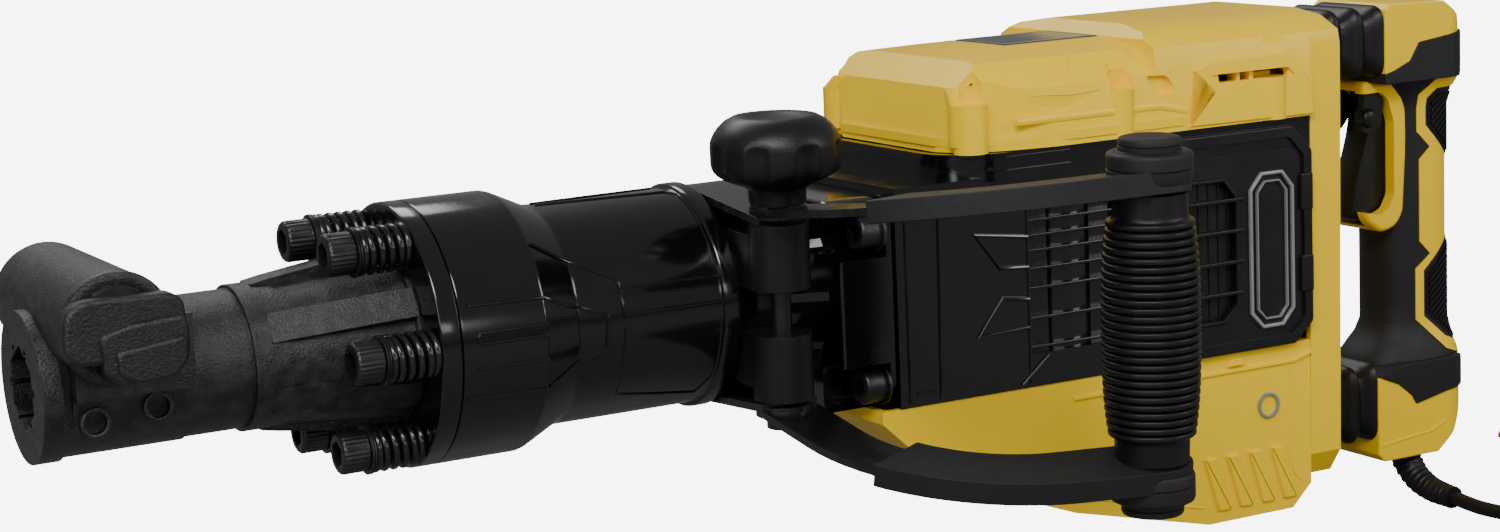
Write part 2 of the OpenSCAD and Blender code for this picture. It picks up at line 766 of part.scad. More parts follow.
// Plan of one side pad, a sector of the oval's skin, larger by g all round
module pad_plan(g) {
    intersection() {
        difference() {
            translate([grip_cx + 3, 0]) circle(r = rear_grip_half_w + 0.4 + 4 * g);
            translate([grip_cx + 3, 0]) circle(r = rear_grip_half_w - 1.1 - g);
        }
        translate([grip_cx + 3, 0]) polygon([[0, 0], [-g, -30], [8 + g, -30], [30, -10 + g], [30, -8 + g]]);
    }
}

pad_spans = [[22, 54], [-76, -38]];

module handle_overmould() {
    color(charcoal) difference() {
        z_prism(grip_z0 + 0.1, grip_z1 - 0.1) grip_oval(rear_grip_half_w);
        translate([core_x0 - 0.05, -core_half_w - 0.05, -120])
            cube([core_x1 - core_x0 + 0.1, 2 * core_half_w + 0.1, 240]);
        translate([690, -16, -17.3]) cube([core_x0 - 690 + 5.5, 32, 90]);
        both_sides() for (span = pad_spans) z_prism(span[0] - 0.2, span[1] + 0.2) pad_plan(0.25);
    }
}

module grip_pads() {
    color(satin_black) both_sides() for (span = pad_spans) z_prism(span[0], span[1]) pad_plan(0);
}

module trigger_surround() {
    color(yellow) difference() {
        translate([687, -15.8, -17]) cube([core_x0 - 687 + 5, 31.6, grip_z1 - 0.5 + 17]);
        translate([680, -9.8, -13.6]) cube([60, 19.6, 69.6]);
        translate([core_x0 - 0.05, -core_half_w - 0.05, -120]) cube([40, 2 * core_half_w + 0.1, 240]);
        translate([BUTTON[0], 0, BUTTON[1]]) y_cyl(-17, 0, 4.6);
    }
}

// Rubber bellows: a box section with raised rings along X
module bellows(x0, x1, half_w, z0, z1) {
    folds = 4;
    pitch = (x1 - x0) / folds;
    difference() {
        union() {
            translate([x0, -half_w + 2.5, z0 + 2.5]) cube([x1 - x0, 2 * half_w - 5, z1 - z0 - 5]);
            for (k = [0:folds - 1]) translate([x0 + k * pitch, -half_w, z0])
                cube([pitch * 0.62, 2 * half_w, z1 - z0]);
        }
        translate([x0 - 1, -half_w + 5, z0 + 5]) cube([x1 - x0 + 2, 2 * half_w - 10, z1 - z0 - 10]);
    }
}

module bellows_upper() { color(satin_black) bellows(rear_x1 + 0.1, upper_mouth_x - 0.2, 27, 64, 101); }
module bellows_lower() { color(satin_black) bellows(rear_x1 + 0.1, lower_mouth_x - 0.2, 27, -124, -83); }

module damper_springs() {
    seats = [[rear_x1 - 3.4, upper_mouth_x + 2.9], [rear_x1 - 3.4, lower_mouth_x + 2.9]];
    color(steel) for (k = [0, 1]) translate([0, 0, damper_z[k]]) x_tube(seats[k][0], seats[k][1], 7, 5);
}

module switch_body() { color(dark_steel) translate([grip_cx - 4, -9.4, -12]) cube([16, 18.8, 64]); }

TRIGGER_PIVOT = [705, 50];

module trigger() {
    color(satin_black) difference() {
        y_prism(-9.2, 9.2) polygon([[703, 55], [698, 54], [697.5, 40], [692, 12], [685, -7], [692, -11.5],
            [704, -11.5], [711, -4], [713, 10], [713, 40], [709, 55]]);
        translate([TRIGGER_PIVOT[0], 0, TRIGGER_PIVOT[1]]) y_cyl(-12, 12, 2.1);
    }
}

BUTTON = [691.5, 43];

module lock_button() {
    color(satin_black) translate([BUTTON[0], 0, BUTTON[1]]) y_cyl(-17.5, -9.9, 4.5);
}

// ---- Mains cord ---------------------------------------------------------
CORD_EXIT = [716, -10];
// Centre points of the strain relief, from inside the boss to its tip
GUARD_ROUTE = [
    [716, -8, -126], [716, -9.5, -130], [716, -11.4, -134], [716, -13.7, -138], [715.9, -16.5, -141.8],
    [715.7, -19.7, -145], [715.4, -23.5, -147.6], [715.1, -27.8, -149.6], [714.8, -32.3, -151],
    [714.6, -37, -152], [714.4, -42, -152.4], [714.3, -47, -152.7], [714.3, -52, -153]
];
// Centre points of the loose stretch, from the strain relief's tip to the coil
CORD_ROUTE = [
    [714.3, -52, -153], [714.4, -57, -153.4], [714.6, -62, -153.9], [714.9, -67, -154.4], [715.4, -72, -154.7],
    [716, -77, -154.75], [716.7, -82, -154.75], [717.5, -87, -154.75], [718.4, -92, -154.75], [719.4, -97, -154.75],
    [720.4, -102, -154.75], [721.4, -107, -154.75], [722.2, -112, -154.75], [722.9, -117, -154.75],
    [723.4, -122, -154.75], [723.5, -126, -154.75]
];
// Centre points from the top of the coil to the plug
TAIL_ROUTE = [
    [820.5, -126, -132.25], [820.5, -119, -132.35], [820.5, -112, -132.9], [820.5, -105, -134], [820.5, -98, -135.8],
    [820.5, -91, -138.2], [820.5, -84, -140.9], [820.5, -77, -143.3], [820.5, -70, -145.1], [820.5, -63, -146.2],
    [820.5, -57, -146.5]
];
coil_c = [772, -126];
coil_r = 41;
coil_columns = 3;
coil_layers = 4;
floor_z = -158.5;
tie_angle = 100;
tie_t = 1.5;
tie_w = 18;
plug_half_h = 12;
plug_y0 = -57;

function unit(v) = v / norm(v);
function heading(pts, i) = unit(pts[min(i + 1, len(pts) - 1)] - pts[max(i - 1, 0)]);
// A ring of points round p, square to t; side is any direction that t never follows
function ring_at(p, t, r, sides, side) = let (u = unit(cross(side, t)), w = cross(t, u))
    [for (k = [0:sides - 1]) let (a = 360 * k / sides) p + r * (cos(a) * u + sin(a) * w)];

module swept(pts, radii, sides, side = [0, 0, 1]) {
    last = len(pts) - 1;
    polyhedron(
        points = [for (i = [0:last]) each ring_at(pts[i], heading(pts, i), radii[i], sides, side)],
        faces = concat(
            [[for (k = [0:sides - 1]) k], [for (k = [sides - 1:-1:0]) last * sides + k]],
            [for (i = [0:last - 1], k = [0:sides - 1]) let (a = i * sides + k, b = i * sides + (k + 1) % sides)
                each [[a, a + sides, b + sides], [a, b + sides, b]]]
        )
    );
}

// Tapered strain relief with a collar inside the boss and raised rings along it
module cord_guard() {
    last = len(GUARD_ROUTE) - 1;
    taper = [for (i = [0:last]) 8.4 - 3.2 * i / last + (i % 2 == 1 ? 0.5 : 0)];
    color(satin_black) swept(GUARD_ROUTE, taper, 16, [1, 0, 0]);
}

module cord() {
    color(satin_black) {
        swept(CORD_ROUTE, [for (p = CORD_ROUTE) cord_d / 2], 12);
        swept(TAIL_ROUTE, [for (p = TAIL_ROUTE) cord_d / 2], 12);
    }
}

module cord_coil() {
    color(satin_black) translate([coil_c[0], coil_c[1], floor_z]) rotate_extrude($fn = 96)
        translate([coil_r - coil_columns * cord_d / 2, 0]) square([coil_columns * cord_d, coil_layers * cord_d]);
}

// Hook-and-loop strap round the coil's turns
module cord_tie() {
    depth = coil_columns * cord_d;
    height = coil_layers * cord_d;
    color(charcoal) translate([coil_c[0], coil_c[1], floor_z]) rotate(tie_angle)
        translate([coil_r - depth / 2, -tie_w / 2, 0]) difference() {
            translate([-tie_t, 0, 0]) cube([depth + 2 * tie_t, tie_w, height + tie_t]);
            translate([0, -1, tie_t]) cube([depth, tie_w + 2, height - tie_t]);
        }
}

// Two-pin plug lying flat, its neck towards the coil
module plug() {
    neck = 20;
    face_y = plug_y0 + neck + 34;
    color(satin_black) translate([TAIL_ROUTE[len(TAIL_ROUTE) - 1][0], 0, floor_z + plug_half_h]) union() {
        intersection() {
            y_cyl(plug_y0 + neck, face_y, 17.5);
            translate([-20, plug_y0, -plug_half_h]) cube([40, 80, 2 * plug_half_h]);
        }
        translate([0, plug_y0, 0]) rotate([-90, 0, 0]) cylinder(h = neck + 1, r1 = 6, r2 = 11);
        for (s = [-1, 1]) translate([9.5 * s, 0, 0]) y_cyl(face_y - 1, face_y + 19, 2.4);
    }
}

front_cover();
flange_ring();
retainer_shaft();
retainer_lever();
front_bolts();
bolt_washers();
front_springs();
barrel_housing();
rear_flange_bolts();
cylinder_sleeve();
impact_bolt();
nose_seal();
striker();
piston();
piston_rings();
wrist_pin();
connecting_rod();
crank_case();
crankshaft();
crank_bearings();
idler_gear();
idler_bearings();
armature();
motor_fan();
motor_bearings();
stator();
brush_holders();
motor_housing();
side_panel_near();
side_panel_far();
badge_frames();
top_cover();
cover_screws();
rating_plate();
rear_cover();
clamp_band();
clamp_blocks();
clamp_bolt();
clamp_knob();
arm_sleeve_upper();
arm_sleeve_lower();
grip_rod();
side_grip();
grip_caps();
handle_shell_near();
handle_shell_far();
handle_overmould();
grip_pads();
trigger_surround();
bellows_upper();
bellows_lower();
damper_springs();
switch_body();
trigger();
lock_button();
cord_guard();
cord();
cord_coil();
cord_tie();
plug();
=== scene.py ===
import json
from functools import partial
from math import copysign, cos, pi, radians, sin

import bmesh
import bpy
from mathutils import Matrix, Vector


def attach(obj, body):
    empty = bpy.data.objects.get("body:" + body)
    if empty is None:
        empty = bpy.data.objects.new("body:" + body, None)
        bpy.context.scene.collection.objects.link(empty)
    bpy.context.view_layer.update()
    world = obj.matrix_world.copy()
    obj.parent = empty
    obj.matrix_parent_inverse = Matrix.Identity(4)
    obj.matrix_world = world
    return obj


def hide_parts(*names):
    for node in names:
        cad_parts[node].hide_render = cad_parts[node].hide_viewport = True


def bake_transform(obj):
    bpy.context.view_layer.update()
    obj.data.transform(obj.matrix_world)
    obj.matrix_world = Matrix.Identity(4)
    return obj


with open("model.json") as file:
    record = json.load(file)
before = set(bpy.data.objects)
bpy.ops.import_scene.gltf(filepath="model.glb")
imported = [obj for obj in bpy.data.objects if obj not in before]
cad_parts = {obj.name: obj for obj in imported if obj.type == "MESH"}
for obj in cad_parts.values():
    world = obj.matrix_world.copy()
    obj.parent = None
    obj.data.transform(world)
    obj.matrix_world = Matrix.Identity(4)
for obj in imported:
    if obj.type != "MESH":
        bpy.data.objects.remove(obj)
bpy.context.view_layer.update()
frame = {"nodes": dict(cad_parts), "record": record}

MM = 0.001

# Main sizes in mm, the same as in the CAD source
BOLT_CIRCLE_R = 48.5
HEAD_X = (122, 134)
SPRING_X = (136, 158.4)
FLANGE_R = 57.5
BARREL_R = 48.8
NECK_R = 45
CYLINDER_R = 38
CORNER_BOLTS = [(y, z) for y in (-54, 54) for z in (27, -43)]
CLAMP = (317.5, -60)
HANDLE_TURN = 1.1  # degrees about the barrel
GRIP_C = 727
GRIP_HALF_W = 19
CASE_HALF_W = 63
FLOOR_Z = -158.5

# The side handle's arm, and the middle of the side grip in plan, where the arms end
ARM_STRAIGHT = 44
ARM_BEND_R = 80
ARM_BEND = radians(80)
ARM_TAIL = 38
ARM_TILT = radians(7.6)
ARM_SLOPE = 0.1334  # the tangent of ARM_TILT
ARM_REACH = ARM_STRAIGHT + ARM_BEND_R * sin(ARM_BEND) + ARM_TAIL * cos(ARM_BEND)
HUB = (CLAMP[0] + ARM_BEND_R * (1 - cos(ARM_BEND)) + ARM_TAIL * sin(ARM_BEND),
       CLAMP[1] - cos(ARM_TILT) * ARM_REACH)


# ---- Materials ----


def feed(tree, socket, value):
    """Links the socket to another one, or gives it a fixed value."""
    if isinstance(value, bpy.types.NodeSocket):
        tree.links.new(value, socket)
    else:
        socket.default_value = value


def add(tree, kind, **inputs):
    """A new shader node; underscores stand for the spaces in its inputs' names."""
    node = tree.nodes.new("ShaderNode" + kind)
    for name, value in inputs.items():
        feed(tree, node.inputs[name.replace("_", " ")], value)
    return node


def noise(tree, coords, scale, detail, stretch=None):
    if stretch:
        coords = add(tree, "Mapping", Vector=coords, Scale=stretch).outputs["Vector"]
    return add(tree, "TexNoise", Vector=coords, Scale=scale, Detail=detail).outputs["Fac"]


def spread(tree, value, low, high, from_low=0.3, from_high=0.7):
    node = add(tree, "MapRange", Value=value, From_Min=from_low, From_Max=from_high, To_Min=low, To_Max=high)
    return node.outputs["Result"]


def mixed(tree, factor, first, second):
    node = add(tree, "Mix")
    node.data_type = "RGBA"
    feed(tree, node.inputs["Factor"], factor)
    for name, colour in (("A", first), ("B", second)):
        feed(tree, node.inputs[name], (*colour, 1) if isinstance(colour, tuple) else colour)
    return node.outputs["Result"]


def product(tree, first, second):
    node = add(tree, "Math")
    node.operation = "MULTIPLY"
    feed(tree, node.inputs[0], first)
    feed(tree, node.inputs[1], second)
    return node.outputs["Value"]


FINE_DEPTH = 0.0004
CAST_DEPTH = 0.0012
WHITE = (1, 1, 1, 1)


def finish(name, colour, rough, metallic=0.0, coat=0.0, grain=(900, 0.1), mottle=0.12, rough_var=0.06,
           wear=None, stretch=None, specular=0.5, cast=None):
    """A procedural surface: mottled colour, uneven roughness and fine grain. If asked, it has worn
    edges (colour, amount) and a cast texture. Grain and cast hold a scale and a strength."""
    material = bpy.data.materials.new(name)
    material.use_nodes = True
    tree = material.node_tree
    tree.nodes.clear()
    coords = add(tree, "TexCoord").outputs["Object"]
    darker = tuple(c * (1 - mottle) for c in colour)
    lighter = tuple(min(1.0, c * (1 + mottle)) for c in colour)
    base = mixed(tree, spread(tree, noise(tree, coords, 25, 4), 0, 1), darker, lighter)
    if wear:
        edges = spread(tree, add(tree, "NewGeometry").outputs["Pointiness"], 0, 1, 0.515, 0.56)
        patches = spread(tree, noise(tree, coords, 160, 6), 0, wear[1], 0.4, 0.65)
        base = mixed(tree, product(tree, edges, patches), base, wear[0])
    smudges = spread(tree, noise(tree, coords, 70, 5, stretch), rough - rough_var, rough + rough_var)
    bump = add(tree, "Bump", Strength=grain[1], Distance=FINE_DEPTH,
               Height=noise(tree, coords, grain[0], 2, stretch))
    if cast:
        bump = add(tree, "Bump", Strength=cast[1], Distance=CAST_DEPTH, Normal=bump.outputs["Normal"],
                   Height=noise(tree, coords, cast[0], 6))
    shader = add(tree, "BsdfPrincipled", Base_Color=base, Roughness=smudges, Metallic=metallic,
                 Coat_Weight=coat, Coat_Roughness=0.12, Specular_IOR_Level=specular,
                 Normal=bump.outputs["Normal"])
    add(tree, "OutputMaterial", Surface=shader.outputs["BSDF"])
    return material


MATERIALS = {name: finish(name, colour, rough, **rest) for name, colour, rough, rest in [
    ("cast_black", (0.005, 0.005, 0.0055), 0.32,
     dict(grain=(2600, 0.6), mottle=0.1, wear=((0.06, 0.06, 0.06), 0.3), cast=(900, 0.4))),
    ("gloss_black", (0.003, 0.003, 0.0035), 0.14,
     dict(coat=0.3, grain=(700, 0.04), mottle=0.15, rough_var=0.04, cast=(90, 0.05))),
    ("yellow_plastic", (1.0, 0.64, 0.0), 0.33,
     dict(grain=(1500, 0.06), mottle=0.015, rough_var=0.05, specular=0.3)),
    ("satin_black", (0.006, 0.006, 0.0065), 0.36, dict(grain=(1800, 0.3), specular=0.35)),
    ("black_steel", (0.005, 0.005, 0.0055), 0.3,
     dict(grain=(900, 0.12), mottle=0.15, wear=((0.12, 0.12, 0.12), 0.25), coat=0.2)),
    ("charcoal_rubber", (0.013, 0.013, 0.0145), 0.5, dict(grain=(2400, 0.45), mottle=0.1, specular=0.3)),
    ("black_rubber", (0.005, 0.005, 0.0055), 0.4, dict(grain=(1200, 0.2), mottle=0.15, specular=0.35)),
    ("dark_steel", (0.045, 0.045, 0.047), 0.36,
     dict(metallic=0.85, grain=(2400, 0.25), mottle=0.2, wear=((0.15, 0.15, 0.15), 0.35))),
    ("bright_steel", (0.5, 0.5, 0.52), 0.24,
     dict(metallic=1.0, grain=(1500, 0.15), mottle=0.08, stretch=(1, 8, 8))),
    ("spring_steel", (0.05, 0.05, 0.053), 0.2, dict(metallic=0.85, grain=(1500, 0.08), mottle=0.15)),
    ("silver_frame", (0.32, 0.33, 0.34), 0.34, dict(metallic=0.5, grain=(1500, 0.1), mottle=0.05)),
    ("blank_label", (0.012, 0.012, 0.012), 0.28, dict(grain=(600, 0.04), mottle=0.15, coat=0.3)),
    ("copper_winding", (0.45, 0.16, 0.05), 0.3, dict(metallic=0.9, grain=(2500, 0.3), mottle=0.3)),
    ("brass", (0.6, 0.42, 0.15), 0.28, dict(metallic=1.0, grain=(1500, 0.1), mottle=0.1)),
    ("cord_rubber", (0.007, 0.007, 0.008), 0.46, dict(grain=(2200, 0.2), specular=0.35)),
]}


# ---- Camera, light and floor ----

LENS_MM = 67.66
CAMERA_PLACE = (-276.15, -1115.24, 227.02)
CAMERA_RIGHT = (0.8720, -0.4874, -0.0452)
CAMERA_AHEAD = (0.4742, 0.8640, -0.1694)
FLOOR_GLOW = 7.0
BACKDROP_SEEN = 8
BACKDROP_LIGHT = 0.25
LAMPS = [  # name, place and target in metres, width, height, power
    ("key_light", (-0.45, -1.25, 1.35), (0.35, 0, 0), 1.3, 0.5, 28),
    ("low_key_light", (0.1, -1.7, 0.35), (0.4, 0, 0), 1.6, 0.2, 3.5),
    ("side_light", (1.7, -1.3, 0.7), (0.55, 0, 0), 0.5, 0.9, 9),
    ("nose_light", (-1.0, -0.7, 0.55), (0.1, 0, 0), 0.3, 0.8, 4.5),
    ("back_light", (0.3, 1.6, 1.6), (0.4, 0, 0), 1.6, 0.7, 17),
]


def linked(name, data):
    """A new object that shows the data."""
    obj = bpy.data.objects.new(name, data)
    bpy.context.collection.objects.link(obj)
    return obj


def baked(name, bm):
    """The edited mesh as mesh data."""
    mesh = bpy.data.meshes.new(name)
    bm.to_mesh(mesh)
    bm.free()
    return mesh


def set_camera():
    """The camera that fits the photo."""
    right = Vector(CAMERA_RIGHT).normalized()
    forward = Vector(CAMERA_AHEAD).normalized()
    data = bpy.data.cameras.new("camera")
    data.lens = LENS_MM
    data.sensor_width = 36
    data.clip_end = 60
    camera = linked("camera", data)
    turn = Matrix((right, right.cross(forward), -forward)).transposed().to_4x4()
    camera.matrix_world = Matrix.Translation(Vector(CAMERA_PLACE) * MM) @ turn
    bpy.context.scene.camera = camera


def set_floor():
    """A pale floor, seen brighter than it lights the tool."""
    plane = bmesh.new()
    bmesh.ops.create_grid(plane, x_segments=1, y_segments=1, size=20)
    for v in plane.verts:
        v.co.z = (FLOOR_Z - 0.2) * MM
    mesh = baked("floor", plane)
    paper = finish("floor_paper", (0.2, 0.2, 0.2), 0.8, grain=(60, 0.02), mottle=0.005)
    tree = paper.node_tree
    shader = next(n for n in tree.nodes if n.type == "BSDF_PRINCIPLED")
    shader.inputs["Emission Color"].default_value = WHITE
    seen = add(tree, "LightPath").outputs["Is Camera Ray"]
    feed(tree, shader.inputs["Emission Strength"], product(tree, seen, FLOOR_GLOW))
    mesh.materials.append(paper)
    linked("floor", mesh)


def set_light():
    """A backdrop that is seen brighter than it lights the tool, and the lamps."""
    world = bpy.data.worlds.new("studio")
    bpy.context.scene.world = world
    world.use_nodes = True
    tree = world.node_tree
    light = tree.nodes["Background"]
    light.inputs["Color"].default_value = WHITE
    light.inputs["Strength"].default_value = BACKDROP_LIGHT
    seen = add(tree, "Background", Color=WHITE, Strength=BACKDROP_SEEN)
    either = add(tree, "MixShader", Fac=add(tree, "LightPath").outputs["Is Camera Ray"])
    tree.links.new(light.outputs["Background"], either.inputs[1])
    tree.links.new(seen.outputs["Background"], either.inputs[2])
    tree.links.new(either.outputs["Shader"], tree.nodes["World Output"].inputs["Surface"])
    for name, spot, target, width, height, power in LAMPS:
        lamp = bpy.data.lights.new(name, "AREA")
        lamp.shape = "RECTANGLE"
        lamp.size = width
        lamp.size_y = height
        lamp.energy = power
        obj = linked(name, lamp)
        obj.location = spot
        obj.rotation_euler = (Vector(target) - Vector(spot)).to_track_quat("-Z", "Y").to_euler()


# ---- Mesh helpers ----

SAME_PLACE = 2e-6  # metres
BODIES = frame["record"]["behaviour"]["bodies"]


def place(axis, p, at):
    """A point of a plan drawn across an axis, at a station along it."""
    return {"x": (at, p[0], p[1]), "y": (p[0], at, p[1]), "z": (p[0], p[1], at)}[axis]


def area(outline):
    return sum(a[0] * b[1] - b[0] * a[1] for a, b in zip(outline, outline[1:] + outline[:1])) / 2


def inset(outline, depth):
    """The outline moved inwards by depth, corner by corner."""
    turn = 1 if area(outline) > 0 else -1
    moved = []
    for i, p in enumerate(outline):
        before = Vector(p) - Vector(outline[i - 1])
        after = Vector(outline[(i + 1) % len(outline)]) - Vector(p)
        n1 = Vector((-before.y, before.x)).normalized() * turn
        n2 = Vector((-after.y, after.x)).normalized() * turn
        moved.append(tuple(Vector(p) + (n1 + n2) * (depth / max(0.35, 1 + n1.dot(n2)))))
    return moved


def rounded(corners, radius, steps=4):
    """The outline with an arc at each corner."""
    result = []
    for i, p in enumerate(corners):
        p = Vector(p)
        back = Vector(corners[i - 1]) - p
        ahead = Vector(corners[(i + 1) % len(corners)]) - p
        reach = min(radius, back.length * 0.45, ahead.length * 0.45)
        a = p + back.normalized() * reach
        b = p + ahead.normalized() * reach
        for k in range(steps + 1):
            t = k / steps
            result.append(tuple(a * (1 - t) ** 2 + p * 2 * t * (1 - t) + b * t * t))
    return result


def circle(cx, cy, r, n=32, start=0.0, sweep=360.0):
    count = n if sweep >= 360 else n + 1
    return [(cx + r * cos(radians(start + sweep * k / n)),
             cy + r * sin(radians(start + sweep * k / n))) for k in range(count)]


def loft(bm, rings, closed=False):
    """A skin added to bm over rings of points in mm, each with the same count."""
    rows = [[bm.verts.new(Vector(p) * MM) for p in ring] for ring in rings]
    pairs = list(zip(rows, rows[1:]))
    if closed:
        pairs.append((rows[-1], rows[0]))
    for low, high in pairs:
        n = len(low)
        for i in range(n):
            bm.faces.new((low[i], low[(i + 1) % n], high[(i + 1) % n], high[i]))
    if not closed:
        bm.faces.new(rows[0][::-1])
        bm.faces.new(rows[-1])
    return bm


def slab(bm, outline, axis, low, high, edge=0.8, steps=3, both=True):
    """A plate with rounded rims added to bm; with both unset only the low side is rounded."""
    rims = [(edge * (1 - sin(pi / 2 * k / steps)), edge * (1 - cos(pi / 2 * k / steps)))
            for k in range(steps + 1)] if edge else [(0, 0)]
    rings = [[place(axis, p, low + along) for p in inset(outline, depth)] for depth, along in rims]
    if both and edge:
        rings += [[place(axis, p, high - along) for p in inset(outline, depth)]
                  for depth, along in rims[::-1]]
    else:
        rings.append([place(axis, p, high) for p in outline])
    return loft(bm, rings)


def plate(outline, axis, one, other):
    """A new mesh: a sharp-edged plate between two stations along the axis."""
    return slab(bmesh.new(), outline, axis, min(one, other), max(one, other), 0)


def box(x0, x1, y0, y1):
    """The corners of a rectangle, for a plan."""
    return [(x0, y0), (x1, y0), (x1, y1), (x0, y1)]


def oval(x, y, half_x, half_y, power, n):
    """An oval, squarer as the power gets lower."""
    points = []
    for k in range(n):
        c, s = cos(2 * pi * k / n), sin(2 * pi * k / n)
        points.append((x + half_x * copysign(abs(c) ** power, c),
                       y + half_y * copysign(abs(s) ** power, s)))
    return points


def lathe(bm, profile, axis="z", centre=(0, 0), n=64, radius_of=None, closed=False):
    """A turned form added to bm: profile holds (station, radius) pairs along the axis."""
    rings = []
    for at, r in profile:
        ring = []
        for k in range(n):
            angle = 2 * pi * k / n
            size = radius_of(at, r, angle) if radius_of else r
            p = (centre[0] + size * cos(angle), centre[1] + size * sin(angle))
            ring.append(place(axis, p, at))
        rings.append(ring)
    return loft(bm, rings, closed)


def raised_frame(bm, outer, inner, axis, section):
    """A frame between two outlines: its section holds (share of the width, station) pairs."""
    loft(bm, [[place(axis, Vector(a).lerp(Vector(b), share), at) for share, at in section]
              for a, b in zip(outer, inner)], closed=True)


def ridge(bm, path, normals, width=1.4, height=0.8, sink=0.4):
    """A raised line with a rounded top along a path in mm."""
    half = [(1, -sink), (0.95, height * 0.35), (0.6, height * 0.85)]
    section = [(-s, h) for s, h in half] + [(0, height)] + half[::-1]
    rings = []
    for i, p in enumerate(path):
        ahead = Vector(path[min(i + 1, len(path) - 1)]) - Vector(path[max(i - 1, 0)])
        up = Vector(normals[i])
        side = ahead.normalized().cross(up).normalized()
        rings.append([Vector(p) + side * (s * width / 2) + up * h for s, h in section])
    loft(bm, rings)


def flat_ridges(bm, y, lines, **sizes):
    """Raised lines on the near side face at y, each through points given as (x, z)."""
    for points in lines:
        ridge(bm, [(x, y, z) for x, z in points], [(0, -1, 0)] * len(points), **sizes)


def round_ridge(bm, stations, **sizes):
    """A raised line on a round body, through stations (x, degrees from the top, radius)."""
    path = []
    for a, b in zip(stations, stations[1:]):
        steps = max(2, int(abs(b[1] - a[1]) / 3) + 1)
        path += [Vector(a).lerp(Vector(b), k / steps) for k in range(steps)]
    path.append(stations[-1])
    normals = [Vector((0, -sin(radians(a)), cos(radians(a)))) for _, a, _ in path]
    ridge(bm, [Vector((x, 0, 0)) + up * r for (x, _, r), up in zip(path, normals)], normals, **sizes)


def to_far_side(verts):
    for v in verts:
        v.co.y = -v.co.y


def mirrored(bm):
    """Adds the mirror image on the far side of the tool."""
    copy = bmesh.ops.duplicate(bm, geom=bm.verts[:] + bm.edges[:] + bm.faces[:])["geom"]
    to_far_side(v for v in copy if isinstance(v, bmesh.types.BMVert))
    bmesh.ops.reverse_faces(bm, faces=[f for f in copy if isinstance(f, bmesh.types.BMFace)])


def temporary(bm, name="tool"):
    bmesh.ops.recalc_face_normals(bm, faces=bm.faces)
    return linked(name, baked(name, bm))


def append(bm, other):
    """Adds the other mesh's faces to bm."""
    mesh = baked("joined", other)
    bm.from_mesh(mesh)
    bpy.data.meshes.remove(mesh)


def combine(operation, bm, *tools):
    """bm cut by, joined with or cut down to the tools, as an exact boolean."""
    base = temporary(bm, "base")
    cutters = [temporary(tool) for tool in tools]
    for cutter in cutters:
        step = base.modifiers.new("step", "BOOLEAN")
        step.operation = operation
        step.solver = "EXACT"
        step.object = cutter
    result = bmesh.new()
    result.from_object(base, bpy.context.evaluated_depsgraph_get())
    for obj in (base, *cutters):
        mesh = obj.data
        bpy.data.objects.remove(obj)
        bpy.data.meshes.remove(mesh)
    return result


cut = partial(combine, "DIFFERENCE")
overlap = partial(combine, "INTERSECT")


def soften(bm, width, angle=28, segments=3):
    """Rounds the sharp edges by width."""
    bmesh.ops.remove_doubles(bm, verts=bm.verts, dist=SAME_PLACE)
    bmesh.ops.dissolve_limit(bm, angle_limit=radians(0.6), verts=bm.verts, edges=bm.edges)
    limit = radians(angle)
    edges = [e for e in bm.edges if len(e.link_faces) == 2 and e.calc_face_angle(0) > limit]
    bmesh.ops.bevel(bm, geom=edges, offset=width * MM, segments=segments, profile=0.5, affect="EDGES",
                    clamp_overlap=True)
    return bm


def crease_angles(bm, degrees):
    limit = radians(degrees)
    for edge in bm.edges:
        edge.smooth = len(edge.link_faces) == 2 and edge.calc_face_angle(0) < limit
    for face in bm.faces:
        face.smooth = True


def piece(name, bm, slot, *replaces, body=None, sharp=40, weighted=True, blended=False):
    """A finished mesh as a piece: smooth shading, its material and the CAD nodes it stands for. It rides
    their body unless a body is given or its two ends follow different ones."""
    bmesh.ops.recalc_face_normals(bm, faces=bm.faces)
    crease_angles(bm, sharp)
    mesh = baked(name, bm)
    mesh.materials.append(MATERIALS[slot])
    obj = linked(name, mesh)
    if weighted:
        obj.modifiers.new("normals", "WEIGHTED_NORMAL").keep_sharp = True
    if not blended:
        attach(obj, body or next(b for b, nodes in BODIES.items() if replaces[0] in nodes))
    if replaces:
        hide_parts(*replaces)
    return obj


def cad_copy(node):
    bm = bmesh.new()
    bm.from_mesh(frame["nodes"][node].data)
    bmesh.ops.remove_doubles(bm, verts=bm.verts, dist=SAME_PLACE)
    return bm


def turned(bm):
    """Turns a side handle piece about the barrel, as the CAD has it."""
    turn = Matrix.Rotation(radians(HANDLE_TURN), 3, "X")
    bmesh.ops.rotate(bm, cent=(0, 0, 0), matrix=turn, verts=bm.verts)
    return bm


# ---- Cord ----
# Centre points in mm: the strain relief, the loose stretch, and the end that leads to the plug
GUARD_ROUTE = [
    (716, -8, -126), (716, -9.5, -130), (716, -11.4, -134), (716, -13.7, -138), (715.9, -16.5, -141.8),
    (715.7, -19.7, -145), (715.4, -23.5, -147.6), (715.1, -27.8, -149.6), (714.8, -32.3, -151),
    (714.6, -37, -152), (714.4, -42, -152.4), (714.3, -47, -152.7), (714.3, -52, -153),
]
CORD_ROUTE = [
    (714.3, -52, -153), (714.4, -57, -153.4), (714.6, -62, -153.9), (714.9, -67, -154.4),
    (715.4, -72, -154.7), *((x, y, -154.75) for x, y in (
        (716, -77), (716.7, -82), (717.5, -87), (718.4, -92), (719.4, -97), (720.4, -102), (721.4, -107),
        (722.2, -112), (722.9, -117), (723.4, -122), (723.5, -126))),
]
TAIL_ROUTE = [(820.5, y, z) for y, z in (
    (-126, -132.25), (-119, -132.35), (-112, -132.9), (-105, -134), (-98, -135.8), (-91, -138.2),
    (-84, -140.9), (-77, -143.3), (-70, -145.1), (-63, -146.2), (-57, -146.5))]
CORD_D = 7.5
COIL_CENTRE = (772, -126)
COIL_R = 41
